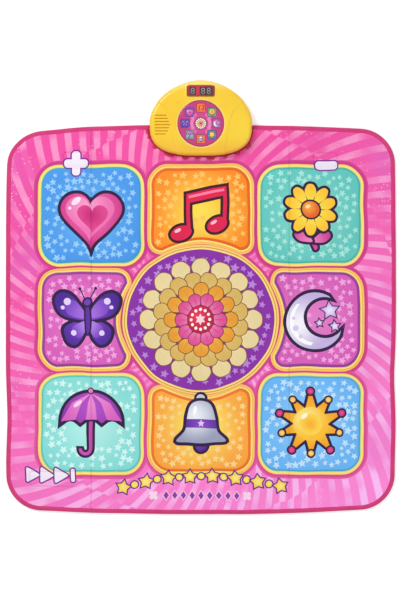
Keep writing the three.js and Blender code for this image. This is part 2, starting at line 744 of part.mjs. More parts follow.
// The hollow of the casing, a wall's thickness inside its outer form.
function casingHollow() {
  const edge = inset(controllerEdge, SHELL_WALL);
  const sections = [{ points: edge, z: SEAM_Z - OVERRUN }];
  for (let i = 0; i <= EDGE_ROUND_STEPS; i++) {
    const angle = (Math.PI / 2) * (i / EDGE_ROUND_STEPS);
    const rounded = inset(edge, (EDGE_ROUND_WIDTH - SHELL_WALL) * (1 - Math.cos(angle)));
    sections.push({
      points: rounded,
      z: SIDE_TOP_Z + (EDGE_ROUND_HEIGHT - SHELL_WALL) * Math.sin(angle),
    });
  }
  return loft(sections);
}

// Plan of the raised face: waisted between the cheeks, and flared to the full width towards the rear.
function faceOutline() {
  const flank = new THREE.SplineCurve(
    [
      [FACE_FOOT_HALF_WIDTH, 0],
      [FACE_WAIST_HALF_WIDTH, FACE_WAIST_BACK],
      [FACE_SHOULDER_HALF_WIDTH, FACE_SHOULDER_BACK],
      [FACE_FLARE_HALF_WIDTH, FACE_FLARE_BACK],
      [CONTROLLER_HALF_WIDTH, FACE_FLARE_BACK + SHELL_WALL + FACE_SIDE_STEP],
    ].map(([x, back]) => new THREE.Vector2(x, CONTROLLER_FRONT_Y + back)),
  ).getPoints(ROUND_STEPS);
  const foot = new THREE.Vector2(FACE_FOOT_HALF_WIDTH, CONTROLLER_FRONT_Y - BOSS_RADIUS);
  const rear = new THREE.Vector2(CONTROLLER_HALF_WIDTH, CONTROLLER_REAR_Y + BOSS_RADIUS);
  const right = [foot, ...flank, rear];
  const left = right.map((point) => new THREE.Vector2(-point.x, point.y)).reverse();
  return [...right, ...left];
}

function windowOutline(growth) {
  return roundedRectangle(
    0,
    WINDOW_Y,
    WINDOW_WIDTH + 2 * growth,
    WINDOW_DEPTH + 2 * growth,
    WINDOW_CORNER_RADIUS + growth,
  );
}

// Eight places on a ring, at its sides and on its diagonals.
function iconPlaces() {
  const far = ICON_RING_RADIUS;
  const near = far * Math.SQRT1_2;
  return [
    [-near, near],
    [0, far],
    [near, near],
    [-far, 0],
    [far, 0],
    [-near, -near],
    [0, -far],
    [near, -near],
  ].map(([x, y]) => [x, DIAL_Y + y]);
}

// Stadium-shaped slots, longest in the middle, that start in line near the casing's left edge.
function soundSlots() {
  const left = SLOT_START - CONTROLLER_HALF_WIDTH;
  const middle = (SLOT_LENGTH_SHARES.length - 1) / 2;
  return SLOT_LENGTH_SHARES.map((share, i) => {
    const length = SLOT_LENGTH * share;
    const y = SPEAKER_Y + (middle - i) * SLOT_PITCH;
    const outline = roundedRectangle(left + length / 2, y, length, SLOT_WIDTH, SLOT_WIDTH / 2);
    return plate(outline, SIDE_TOP_Z, FACE_EDGE_Z + OVERRUN);
  });
}

const BOARD_POST_REAR = DIAL_RADIUS + POST_RADIUS + LEDGE_WIDTH;
const BOARD_POST_PLACES = [
  [-BOARD_REAR_HALF_WIDTH + BOARD_EDGE, DIAL_Y + BOARD_POST_REAR * Math.sin(Math.PI / 3)],
  [BOARD_REAR_HALF_WIDTH - BOARD_EDGE, DIAL_Y + BOARD_POST_REAR * Math.sin(Math.PI / 3)],
  [-BOARD_FRONT_HALF_WIDTH + BOARD_EDGE, DIAL_Y - BOARD_POST_REAR],
  [BOARD_FRONT_HALF_WIDTH - BOARD_EDGE, DIAL_Y - BOARD_POST_REAR],
];

function switchOpening() {
  const half = (KNOB_WIDTH + SWITCH_TRAVEL) / 2 + CLEARANCE;
  const z = SWITCH_Z + SWITCH_HEIGHT / 2;
  const tall = KNOB_HEIGHT / 2 + CLEARANCE;
  const front = CONTROLLER_REAR_Y - SHELL_WALL - OVERRUN;
  return block(-half, half, front, CONTROLLER_REAR_Y + SHELL_WALL, z - tall, z + tall);
}

function upperHousing() {
  const highest = FACE_EDGE_Z + FACE_RISE + ROOF_CROWN + OVERRUN;
  const form = casingForm(0, 0);
  const column = plate(faceOutline(), 0, highest);
  const face = casingForm(FACE_SIDE_STEP, FACE_RISE).intersect(column);
  const bezel = plate(windowOutline(BEZEL_WIDTH), ROOF_INSIDE_Z, FACE_EDGE_Z);
  const roofReach = ROOF_INSIDE_Z + OVERRUN / 2;
  const bosses = SCREW_PLACES.map(([x, y]) => rod(x, y, BOSS_RADIUS, SEAM_Z, roofReach));
  const posts = BOARD_POST_PLACES.map(([x, y]) =>
    rod(x, y, POST_RADIUS, BOARD_TOP_Z + CLEARANCE, roofReach, SCREW_STEPS),
  );
  const collarInside = circle(SPEAKER_X, SPEAKER_Y, SPEAKER_RADIUS + CLEARANCE);
  const collarOutside = circle(SPEAKER_X, SPEAKER_Y, SPEAKER_RADIUS + CLEARANCE + COLLAR_WALL);
  const collar = plate(collarOutside, ROOF_INSIDE_Z - COLLAR_HEIGHT, roofReach, [collarInside]);
  const inner = joined(...bosses, ...posts, collar).intersect(form);
  const shell = joined(cut(joined(form, face, bezel), casingHollow()), inner);
  const pilotTop = SCREW_LENGTH + SCREW_HEAD_HEIGHT + OVERRUN;
  const pilots = SCREW_PLACES.map(([x, y]) =>
    rod(x, y, SCREW_RADIUS + CLEARANCE, SEAM_Z - OVERRUN, pilotTop, SCREW_STEPS),
  );
  const dialSeat = rod(0, DIAL_Y, DIAL_RADIUS + CLEARANCE, LEDGE_Z, highest, DIAL_STEPS);
  const dialBore = rod(0, DIAL_Y, DIAL_RADIUS - LEDGE_WIDTH, SIDE_TOP_Z, highest, DIAL_STEPS);
  const windowSeat = plate(windowOutline(CLEARANCE), LEDGE_Z, highest);
  const windowBore = plate(windowOutline(-LEDGE_WIDTH / 2), SIDE_TOP_Z, highest);
  return cut(
    shell,
    ...pilots,
    dialSeat,
    dialBore,
    windowSeat,
    windowBore,
    ...soundSlots(),
    switchOpening(),
  );
}

// Battery bay, worked out from the cells
const BAY_RIGHT = CONTROLLER_HALF_WIDTH - BAY_SIDE_MARGIN;
const BAY_LENGTH = CELL_LENGTH + CELL_NUB_HEIGHT + SPRING_LENGTH + 2 * (TERMINAL_THICKNESS + CLEARANCE);
const BAY_LEFT = BAY_RIGHT - BAY_LENGTH;
const BAY_FRONT = RIB_Y + SHELL_WALL + BAY_WALL;
const CELL_PITCH = 2 * CELL_RADIUS + CLEARANCE;
const BAY_REAR = BAY_FRONT + CELL_COUNT * CELL_PITCH + CLEARANCE;
const DOOR_Z = (TRAY_THICKNESS - DOOR_THICKNESS) / 2;
const DOOR_TOP_Z = DOOR_Z + DOOR_THICKNESS;
const CELL_AXIS_Z = TRAY_THICKNESS + CLEARANCE + CELL_RADIUS;
const BAY_TOP_Z = CELL_AXIS_Z + CELL_RADIUS + CLEARANCE;
const BAY_MIDDLE_Y = (BAY_FRONT + BAY_REAR) / 2;
const DOOR_SCREW_X = BAY_RIGHT + DOOR_EAR_REACH / 2;

function cellPlaces() {
  return Array.from({ length: CELL_COUNT }, (_, i) => BAY_FRONT + CLEARANCE + CELL_RADIUS + i * CELL_PITCH);
}

function lowerHousing() {
  const floor = plate(controllerEdge, 0, TRAY_THICKNESS);
  const wall = plate(controllerEdge, TRAY_THICKNESS / 2, COVER_TOP_Z, [inset(controllerEdge, SHELL_WALL)]);
  const behindMat = block(
    -CONTROLLER_HALF_WIDTH,
    CONTROLLER_HALF_WIDTH,
    RIB_Y,
    CONTROLLER_REAR_Y,
    0,
    COVER_TOP_Z,
  );
  const rearWall = wall.intersect(behindMat);
  const ribHalf = CONTROLLER_HALF_WIDTH - SHELL_WALL / 2;
  const rib = block(-ribHalf, ribHalf, RIB_Y, RIB_Y + SHELL_WALL, TRAY_THICKNESS / 2, COVER_TOP_Z);
  const tailNotch = TAIL_WIDTH / 2 + CLEARANCE;
  const notch = block(
    -tailNotch,
    tailNotch,
    RIB_Y - OVERRUN,
    RIB_Y + SHELL_WALL + OVERRUN,
    TRAY_THICKNESS,
    COVER_TOP_Z + OVERRUN,
  );
  const bay = block(
    BAY_LEFT - BAY_WALL,
    BAY_RIGHT + BAY_WALL,
    BAY_FRONT - BAY_WALL,
    BAY_REAR + BAY_WALL,
    0,
    BAY_TOP_Z + BAY_WALL,
  );
  const bayHollow = block(BAY_LEFT, BAY_RIGHT, BAY_FRONT, BAY_REAR, -OVERRUN, BAY_TOP_Z);
  const rearPosts = SCREW_PLACES.slice(2).map(([x, y]) => rod(x, y, BOSS_RADIUS, 0, COVER_TOP_Z));
  const doorPostX = DOOR_SCREW_X + BAY_WALL;
  const doorPost = rod(doorPostX, BAY_MIDDLE_Y, BOSS_RADIUS, TRAY_THICKNESS / 2, DOOR_POST_HEIGHT);
  const body = joined(floor, cut(joined(rearWall, rib), notch), bay, ...rearPosts, doorPost);
  const earHalf = DOOR_EAR_WIDTH / 2 + CLEARANCE;
  const earEnd = BAY_RIGHT + DOOR_EAR_REACH + CLEARANCE;
  const earPocket = block(
    BAY_RIGHT - OVERRUN,
    earEnd,
    BAY_MIDDLE_Y - earHalf,
    BAY_MIDDLE_Y + earHalf,
    -OVERRUN,
    DOOR_TOP_Z + CLEARANCE,
  );
  const doorScrewHole = rod(
    DOOR_SCREW_X,
    BAY_MIDDLE_Y,
    SCREW_RADIUS + LOOSE_CLEARANCE,
    0,
    DOOR_POST_HEIGHT - OVERRUN,
    SCREW_STEPS,
  );
  const pinHole = alongY(
    DOOR_PIN_RADIUS + CLEARANCE,
    BAY_FRONT - DOOR_PIN_LENGTH,
    BAY_REAR + DOOR_PIN_LENGTH,
    doorPinX(),
    DOOR_Z + DOOR_THICKNESS / 2,
  );
  const shankHoles = SCREW_PLACES.map(([x, y]) =>
    rod(x, y, SCREW_RADIUS + CLEARANCE, -OVERRUN, COVER_TOP_Z + OVERRUN, SCREW_STEPS),
  );
  const headHoles = SCREW_PLACES.map(([x, y]) =>
    rod(x, y, SCREW_HEAD_RADIUS + CLEARANCE, -OVERRUN, SCREW_HEAD_HEIGHT + LOOSE_CLEARANCE, SCREW_STEPS),
  );
  return cut(body, bayHollow, earPocket, doorScrewHole, pinHole, ...shankHoles, ...headHoles);
}

// A rod along Y, at a place across and a level.
function alongY(radius, front, rear, x, z, steps = SCREW_STEPS) {
  const geometry = new THREE.CylinderGeometry(radius, radius, rear - front, steps);
  geometry.translate(x, (front + rear) / 2, z);
  return solid(geometry);
}

// A rod along X, at a place along Y and a level.
function alongX(radius, left, right, y, z, steps = ROUND_STEPS) {
  const geometry = new THREE.CylinderGeometry(radius, radius, right - left, steps);
  geometry.rotateZ(Math.PI / 2);
  geometry.translate((left + right) / 2, y, z);
  return solid(geometry);
}

function doorPinX() {
  return BAY_LEFT + CLEARANCE + DOOR_THICKNESS / 2;
}

// The door turns on two short pins at its left edge, which is rounded about them.
function batteryDoor() {
  const axisX = doorPinX();
  const axisZ = DOOR_Z + DOOR_THICKNESS / 2;
  const front = BAY_FRONT + CLEARANCE;
  const rear = BAY_REAR - CLEARANCE;
  const panel = block(axisX, BAY_RIGHT - CLEARANCE, front, rear, DOOR_Z, DOOR_TOP_Z);
  const ear = block(
    BAY_RIGHT - BAY_WALL,
    BAY_RIGHT + DOOR_EAR_REACH,
    BAY_MIDDLE_Y - DOOR_EAR_WIDTH / 2,
    BAY_MIDDLE_Y + DOOR_EAR_WIDTH / 2,
    DOOR_Z,
    DOOR_TOP_Z,
  );
  const knuckle = alongY(DOOR_THICKNESS / 2, front, rear, axisX, axisZ, ROUND_STEPS);
  const pin = alongY(
    DOOR_PIN_RADIUS,
    BAY_FRONT - DOOR_PIN_LENGTH + CLEARANCE,
    BAY_REAR + DOOR_PIN_LENGTH - CLEARANCE,
    axisX,
    axisZ,
  );
  const shankHole = rod(
    DOOR_SCREW_X,
    BAY_MIDDLE_Y,
    SCREW_RADIUS + CLEARANCE,
    DOOR_Z - OVERRUN,
    DOOR_TOP_Z + OVERRUN,
    SCREW_STEPS,
  );
  const headHole = rod(
    DOOR_SCREW_X,
    BAY_MIDDLE_Y,
    SCREW_HEAD_RADIUS + CLEARANCE,
    DOOR_Z - OVERRUN,
    DOOR_Z + SCREW_HEAD_HEIGHT,
    SCREW_STEPS,
  );
  return cut(joined(panel, ear, knuckle, pin), shankHole, headHole);
}

// A pan-head screw that stands head down, with a round driver recess in its head.
function screw(headBottom, length) {
  const neck = headBottom + SCREW_HEAD_HEIGHT;
  return turnedSolid(
    0,
    0,
    [
      [0, headBottom + DRIVE_DEPTH],
      [DRIVE_RADIUS, headBottom + DRIVE_DEPTH],
      [DRIVE_RADIUS, headBottom],
      [SCREW_HEAD_RADIUS, headBottom],
      [SCREW_HEAD_RADIUS, neck],
      [SCREW_RADIUS, neck],
      [SCREW_RADIUS, neck + length - SCREW_RADIUS],
      [0, neck + length],
    ],
    SCREW_STEPS,
  );
}

function cell() {
  const nub = CELL_LENGTH / 2 + CELL_NUB_HEIGHT;
  return joined(
    alongX(CELL_RADIUS, -CELL_LENGTH / 2, CELL_LENGTH / 2, 0, 0),
    alongX(CELL_NUB_RADIUS, 0, nub, 0, 0, SCREW_STEPS),
  );
}

// A conical contact spring that stands on a plate and narrows towards the cell.
function contactSpring(x, y, direction) {
  const count = SPRING_TURNS * SPRING_STEPS_PER_TURN;
  const route = Array.from({ length: count + 1 }, (_, i) => {
    const share = i / count;
    const angle = 2 * Math.PI * SPRING_TURNS * share;
    const radius = SPRING_BASE_RADIUS + (SPRING_TIP_RADIUS - SPRING_BASE_RADIUS) * share;
    return new THREE.Vector3(
      x + direction * (SPRING_LENGTH - SPRING_WIRE_RADIUS) * share,
      y + radius * Math.cos(angle),
      CELL_AXIS_Z + radius * Math.sin(angle),
    );
  });
  printLeastGap(route);
  return tube(route, SPRING_WIRE_RADIUS, WIRE_SIDES);
}

// Prints how near neighbouring turns come, from surface to surface.
function printLeastGap(route) {
  let least = Infinity;
  for (let i = 0; i < route.length; i++) {
    for (let j = i + SPRING_STEPS_PER_TURN / 2; j < route.length; j++) {
      least = Math.min(least, route[i].distanceTo(route[j]) - 2 * SPRING_WIRE_RADIUS);
    }
  }
  console.log("least gap between spring turns", least.toFixed(2));
}

// A closed tube along a list of points, with each of its rings square to the line there.
function tube(route, radius, sides) {
  const positions = [];
  const faces = [];
  const reference = new THREE.Vector3(1, 0, 0);
  route.forEach((point, i) => {
    const ahead = route[Math.min(i + 1, route.length - 1)];
    const behind = route[Math.max(i - 1, 0)];
    const along = ahead.clone().sub(behind).normalize();
    const side = along.clone().cross(reference).normalize();
    const over = side.clone().cross(along);
    for (let k = 0; k < sides; k++) {
      const angle = (2 * Math.PI * k) / sides;
      const spot = point
        .clone()
        .addScaledVector(side, radius * Math.cos(angle))
        .addScaledVector(over, radius * Math.sin(angle));
      positions.push(spot.x, spot.y, spot.z);
    }
  });
  for (let i = 0; i + 1 < route.length; i++) {
    for (let k = 0; k < sides; k++) {
      const a = i * sides + k;
      const b = i * sides + ((k + 1) % sides);
      faces.push(a, b + sides, b, a, a + sides, b + sides);
    }
  }
  const last = (route.length - 1) * sides;
  for (let k = 1; k + 1 < sides; k++) {
    faces.push(0, k, k + 1);
    faces.push(last, last + k + 1, last + k);
  }
  const geometry = new THREE.BufferGeometry();
  geometry.setAttribute("position", new THREE.Float32BufferAttribute(positions, 3));
  geometry.setIndex(faces);
  return solid(geometry);
}

// A spring-steel strip against one end wall of the bay, across one cell or bridging two.
function terminalPlate(x, firstY, lastY) {
  return block(
    x,
    x + TERMINAL_THICKNESS,
    firstY - TERMINAL_WIDTH / 2,
    lastY + TERMINAL_WIDTH / 2,
    CELL_AXIS_Z - TERMINAL_HEIGHT / 2,
    CELL_AXIS_Z + TERMINAL_HEIGHT / 2,
  );
}

const TERMINAL_LEFT = BAY_LEFT + CLEARANCE / 2;
const TERMINAL_RIGHT = BAY_RIGHT - CLEARANCE / 2 - TERMINAL_THICKNESS;

// The cells stand head to tail, so each end of the bay has both springs and flat contacts.
function springAt(side, y) {
  const fromLeft = side === "left";
  const x = fromLeft ? TERMINAL_LEFT + TERMINAL_THICKNESS / 2 : TERMINAL_RIGHT + TERMINAL_THICKNESS / 2;
  return contactSpring(x, y, fromLeft ? 1 : -1);
}

function batteryTerminals() {
  const [first, second, third] = cellPlaces();
  return {
    battery_terminal_negative: joined(terminalPlate(TERMINAL_LEFT, first, first), springAt("left", first)),
    battery_link_1: joined(terminalPlate(TERMINAL_RIGHT, first, second), springAt("right", second)),
    battery_link_2: joined(terminalPlate(TERMINAL_LEFT, second, third), springAt("left", third)),
    battery_terminal_positive: terminalPlate(TERMINAL_RIGHT, third, third),
  };
}

// Dial, display, lights and board

function dialLens() {
  const bottom = LEDGE_Z + CLEARANCE;
  const rim = FACE_EDGE_Z + DIAL_PROUD;
  const halfCrownShare = 0.75;
  const lens = turnedSolid(
    0,
    DIAL_Y,
    [
      [0, bottom],
      [DIAL_RADIUS, bottom],
      [DIAL_RADIUS, rim - DIAL_CHAMFER],
      [DIAL_RADIUS - DIAL_CHAMFER, rim],
      [DIAL_RADIUS / 2, rim + DIAL_CROWN * halfCrownShare],
      [0, rim + DIAL_CROWN],
    ],
    DIAL_STEPS,
  );
  const pockets = iconPlaces().map(([x, y]) =>
    plate(
      roundedRectangle(x, y, ICON_SIZE, ICON_SIZE, ICON_CORNER_RADIUS),
      rim - ICON_DEPTH + DIAL_CROWN / 2,
      rim + DIAL_CROWN + OVERRUN,
    ),
  );
  return cut(lens, ...pockets);
}

function lightBaffle() {
  const chambers = iconPlaces().map(([x, y]) =>
    roundedRectangle(x, y, CHAMBER_SIZE, CHAMBER_SIZE, CHAMBER_CORNER_RADIUS),
  );
  return plate(circle(0, DIAL_Y, BAFFLE_RADIUS, DIAL_STEPS), BOARD_TOP_Z + CLEARANCE, LEDGE_Z, chambers);
}

function led() {
  const bottom = BOARD_TOP_Z + CLEARANCE;
  const shoulder = bottom + LED_BODY_HEIGHT;
  const domeShares = [0.8, 0.6];
  return turnedSolid(
    0,
    0,
    [
      [0, bottom],
      [LED_FLANGE_RADIUS, bottom],
      [LED_FLANGE_RADIUS, bottom + LED_FLANGE_HEIGHT],
      [LED_RADIUS, bottom + LED_FLANGE_HEIGHT],
      [LED_RADIUS, shoulder],
      [LED_RADIUS * domeShares[0], shoulder + LED_DOME_HEIGHT * domeShares[1]],
      [0, shoulder + LED_DOME_HEIGHT],
    ],
    LED_STEPS,
  );
}

function displayWindow() {
  return plate(windowOutline(0), LEDGE_Z + CLEARANCE, LEDGE_Z + CLEARANCE + WINDOW_THICKNESS);
}

// The seven bars of one digit, as shallow slots round its middle.
function digitSegments(x, y, top) {
  const reachX = (DIGIT_WIDTH - SEGMENT_WIDTH) / 2;
  const reachY = (DIGIT_HEIGHT - SEGMENT_WIDTH) / 2;
  const flat = DIGIT_WIDTH - SEGMENT_WIDTH - 2 * SEGMENT_GAP;
  const upright = reachY - 2 * SEGMENT_GAP;
  const bars = [
    ...[-reachY, 0, reachY].map((dy) => [x, y + dy, flat, SEGMENT_WIDTH]),
    ...[-reachX, reachX].flatMap((dx) =>
      [-reachY / 2, reachY / 2].map((dy) => [x + dx, y + dy, SEGMENT_WIDTH, upright]),
    ),
  ];
  return bars.map(([bx, by, width, depth]) =>
    block(
      bx - width / 2,
      bx + width / 2,
      by - depth / 2,
      by + depth / 2,
      top - SEGMENT_DEPTH,
      top + OVERRUN,
    ),
  );
}

function digitModule(x, digits) {
  const width = DIGIT_MODULE_WIDTH * digits;
  const top = LEDGE_Z - LEDGE_THICKNESS - CLEARANCE;
  const body = block(
    x - width / 2,
    x + width / 2,
    WINDOW_Y - DIGIT_MODULE_DEPTH / 2,
    WINDOW_Y + DIGIT_MODULE_DEPTH / 2,
    BOARD_TOP_Z + CLEARANCE,
    top,
  );
  const firstX = x - ((digits - 1) * DIGIT_MODULE_WIDTH) / 2;
  const slots = Array.from({ length: digits }, (_, i) =>
    digitSegments(firstX + i * DIGIT_MODULE_WIDTH, WINDOW_Y, top),
  );
  return cut(body, ...slots.flat());
}

function mainBoard() {
  const disc = rod(0, DIAL_Y, BOARD_RADIUS, BOARD_Z, BOARD_TOP_Z, DIAL_STEPS);
  const rearY = WINDOW_Y + DIGIT_MODULE_DEPTH / 2;
  const rear = block(-BOARD_REAR_HALF_WIDTH, BOARD_REAR_HALF_WIDTH, DIAL_Y, rearY, BOARD_Z, BOARD_TOP_Z);
  const frontY = DIAL_Y - BOARD_POST_REAR - BOARD_EDGE;
  const front = block(-BOARD_FRONT_HALF_WIDTH, BOARD_FRONT_HALF_WIDTH, frontY, DIAL_Y, BOARD_Z, BOARD_TOP_Z);
  return joined(disc, rear, front);
}

function boardChip() {
  const y = DIAL_Y - BOARD_RADIUS / 2;
  const top = BOARD_Z - CLEARANCE;
  const left = -CHIP_WIDTH / 2;
  return block(left, left + CHIP_WIDTH, y - CHIP_DEPTH / 2, y + CHIP_DEPTH / 2, top - CHIP_HEIGHT, top);
}

function filmClampBar() {
  const rear = RIB_Y + SHELL_WALL;
  const top = BOARD_Z - LOOSE_CLEARANCE - FILM_THICKNESS;
  const half = TAIL_WIDTH / 2;
  return block(-half, half, rear - CLAMP_BAR_DEPTH, rear, top - CLAMP_BAR_HEIGHT, top);
}

// Speaker: a pressed basket on its magnet, and the paper cone inside its rim.
const SPEAKER_TOP_Z = ROOF_INSIDE_Z - CLEARANCE;

function speakerFrame() {
  const foot = SPEAKER_TOP_Z - SPEAKER_HEIGHT;
  const rimBottom = SPEAKER_TOP_Z - SPEAKER_RIM_HEIGHT;
  const rimInside = SPEAKER_RADIUS - SPEAKER_RIM_WIDTH;
  return turnedSolid(SPEAKER_X, SPEAKER_Y, [
    [0, foot - MAGNET_HEIGHT],
    [MAGNET_RADIUS, foot - MAGNET_HEIGHT],
    [MAGNET_RADIUS, foot],
    [SPEAKER_BASKET_FOOT_RADIUS, foot],
    [SPEAKER_RADIUS, rimBottom],
    [SPEAKER_RADIUS, SPEAKER_TOP_Z],
    [rimInside, SPEAKER_TOP_Z],
    [rimInside, rimBottom],
    [SPEAKER_BASKET_FOOT_RADIUS - SPEAKER_METAL, foot + SPEAKER_METAL],
    [0, foot + SPEAKER_METAL],
  ]);
}

function speakerCone() {
  const foot = SPEAKER_TOP_Z - SPEAKER_HEIGHT + SPEAKER_METAL + CLEARANCE;
  const rim = SPEAKER_TOP_Z - CLEARANCE;
  const outside = SPEAKER_RADIUS - SPEAKER_RIM_WIDTH - CLEARANCE;
  return turnedSolid(SPEAKER_X, SPEAKER_Y, [
    [0, foot],
    [CONE_THROAT_RADIUS, foot],
    [outside, rim - CONE_THICKNESS],
    [outside, rim],
    [CONE_THROAT_RADIUS, foot + CONE_THICKNESS + SPEAKER_METAL],
    [CONE_THROAT_RADIUS / 2, foot + DUST_CAP_RISE],
    [0, foot + DUST_CAP_RISE + CONE_THICKNESS],
  ]);
}

// Power switch: a body behind the rear wall, and a carriage whose ribbed knob shows in the opening.
const SWITCH_REAR_Y = CONTROLLER_REAR_Y - SHELL_WALL - SWITCH_SET_FORWARD;
const SWITCH_MIDDLE_Z = SWITCH_Z + SWITCH_HEIGHT / 2;

function switchBody() {
  const front = SWITCH_REAR_Y - SWITCH_DEPTH;
  const body = block(
    -SWITCH_WIDTH / 2,
    SWITCH_WIDTH / 2,
    front,
    SWITCH_REAR_Y,
    SWITCH_Z,
    SWITCH_Z + SWITCH_HEIGHT,
  );
  const half = (KNOB_WIDTH + SWITCH_TRAVEL) / 2 + CARRIAGE_LIP + CLEARANCE;
  const tall = KNOB_HEIGHT / 2 + CARRIAGE_LIP + CLEARANCE;
  const track = block(
    -half,
    half,
    SWITCH_REAR_Y - CARRIAGE_DEPTH - CLEARANCE,
    SWITCH_REAR_Y + OVERRUN,
    SWITCH_MIDDLE_Z - tall,
    SWITCH_MIDDLE_Z + tall,
  );
  return cut(body, track);
}

function switchSlider() {
  const x = -SWITCH_TRAVEL / 2;
  const half = KNOB_WIDTH / 2;
  const carriageHalf = half + CARRIAGE_LIP;
  const tall = KNOB_HEIGHT / 2;
  const front = SWITCH_REAR_Y - CARRIAGE_DEPTH;
  const knobRear = CONTROLLER_REAR_Y - KNOB_RECESS;
  const carriage = block(
    x - carriageHalf,
    x + carriageHalf,
    front,
    SWITCH_REAR_Y,
    SWITCH_MIDDLE_Z - tall - CARRIAGE_LIP,
    SWITCH_MIDDLE_Z + tall + CARRIAGE_LIP,
  );
  const knob = block(x - half, x + half, front, knobRear, SWITCH_MIDDLE_Z - tall, SWITCH_MIDDLE_Z + tall);
  const pitch = KNOB_WIDTH / (KNOB_RIBS + 1);
  const grooves = Array.from({ length: KNOB_RIBS }, (_, i) => {
    const grooveX = x - half + (i + 1) * pitch;
    return block(
      grooveX - pitch / 4,
      grooveX + pitch / 4,
      knobRear - KNOB_RIB_DEPTH,
      knobRear + OVERRUN,
      SWITCH_MIDDLE_Z - tall - OVERRUN,
      SWITCH_MIDDLE_Z + tall + OVERRUN,
    );
  });
  return cut(joined(carriage, knob), ...grooves);
}

addPiece("upper_housing", upperHousing(), CASE_YELLOW, controller);
addPiece("lower_housing", lowerHousing(), CASE_YELLOW, controller);
SCREW_PLACES.forEach(([x, y], i) => {
  addPiece(`housing_screw_${i + 1}`, screw(CLEARANCE, SCREW_LENGTH), STEEL, controller).position.set(x, y, 0);
});

const battery = new THREE.Group();
controller.add(battery);
addPiece("battery_door", batteryDoor(), CASE_YELLOW, battery);
const doorScrew = addPiece("battery_door_screw", screw(DOOR_Z, DOOR_SCREW_GRIP), STEEL, battery);
doorScrew.position.set(DOOR_SCREW_X, BAY_MIDDLE_Y, 0);
cellPlaces().forEach((y, i) => {
  const piece = addPiece(`battery_${i + 1}`, cell(), CELL_SLEEVE, battery);
  const towardsRight = i % 2 === 0;
  const plain = TERMINAL_THICKNESS + CLEARANCE + CELL_NUB_HEIGHT + CELL_LENGTH / 2;
  piece.position.set(towardsRight ? BAY_RIGHT - plain : BAY_LEFT + plain, y, CELL_AXIS_Z);
  piece.rotation.z = towardsRight ? 0 : Math.PI;
});
for (const [name, shape] of Object.entries(batteryTerminals())) addPiece(name, shape, STEEL, battery);

const electronics = new THREE.Group();
controller.add(electronics);
addPiece("dial_lens", dialLens(), DIAL_MAGENTA, electronics);
addPiece("light_baffle", lightBaffle(), DIFFUSER_WHITE, electronics);
iconPlaces().forEach(([x, y], i) => {
  addPiece(`led_${i + 1}`, led(), DIFFUSER_WHITE, electronics).position.set(x, y, 0);
});
const SCORE_SPAN = 3 * DIGIT_MODULE_WIDTH + DIGIT_MODULE_GAP;
const ONE_DIGIT_X = (DIGIT_MODULE_WIDTH - SCORE_SPAN) / 2;
const TWO_DIGIT_X = SCORE_SPAN / 2 - DIGIT_MODULE_WIDTH;
addPiece("display_window", displayWindow(), WINDOW_RED, electronics);
addPiece("digit_module_left", digitModule(ONE_DIGIT_X, 1), DISPLAY_GREY, electronics);
addPiece("digit_module_right", digitModule(TWO_DIGIT_X, 2), DISPLAY_GREY, electronics);
addPiece("main_board", mainBoard(), BOARD_GREEN, electronics);
addPiece("board_chip", boardChip(), CHIP_BLACK, electronics);
addPiece("film_clamp_bar", filmClampBar(), CHIP_BLACK, electronics);
addPiece("speaker_frame", speakerFrame(), STEEL, electronics);
addPiece("speaker_cone", speakerCone(), PAPER_BLACK, electronics);
addPiece("power_switch_body", switchBody(), SWITCH_BLACK, electronics);
addPiece("power_switch_slider", switchSlider(), SWITCH_BLACK, electronics);

export default danceMat;
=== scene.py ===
# %% [markdown]
# # An electronic dance mat
# The mat is a thin sandwich of foam, sensor film and printed cloth, bound round its rim, with a moulded
# controller clamped over its rear edge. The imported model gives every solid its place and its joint. This
# lesson dresses those solids: cloth where there is cloth, polished plastic where there is moulding.
# All plans below are drawn in millimetres and turned into metres when a mesh is made.

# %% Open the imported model
import math
import random

import bpy
import numpy as np
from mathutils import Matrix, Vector, noise
from mathutils.geometry import delaunay_2d_cdt


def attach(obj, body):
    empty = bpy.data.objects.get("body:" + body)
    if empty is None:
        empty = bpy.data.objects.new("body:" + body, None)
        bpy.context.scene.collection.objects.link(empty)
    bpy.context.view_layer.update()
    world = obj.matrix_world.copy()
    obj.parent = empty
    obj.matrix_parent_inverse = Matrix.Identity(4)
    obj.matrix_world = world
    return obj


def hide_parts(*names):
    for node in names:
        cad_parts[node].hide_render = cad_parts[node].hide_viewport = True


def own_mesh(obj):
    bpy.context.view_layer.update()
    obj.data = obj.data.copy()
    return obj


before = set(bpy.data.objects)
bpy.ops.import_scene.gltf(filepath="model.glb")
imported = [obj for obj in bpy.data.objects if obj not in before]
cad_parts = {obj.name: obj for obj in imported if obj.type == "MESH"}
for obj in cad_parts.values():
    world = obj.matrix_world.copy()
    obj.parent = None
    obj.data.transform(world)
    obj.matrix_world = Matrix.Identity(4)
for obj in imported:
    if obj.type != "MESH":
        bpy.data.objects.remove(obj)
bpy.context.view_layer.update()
MM = 0.001

# %% [markdown]
# ## Camera, floor and light
# The photograph looks straight down from far away, so the camera hangs nine metres above the mat with a
# long lens. The floor is pale, and the light is broad and soft, so that it leaves only a faint shadow. A
# colour then renders about as it is written. To the camera the floor and the room look a little brighter
# than the light they give, which keeps the backdrop near white from every side.

# %% Hang the camera
VIEW_MIDDLE = (-0.0008, 0.0442)
CAMERA_HEIGHT = 9.0
SENSOR_TALL = 36.0
VIEW_TALL = 1.397

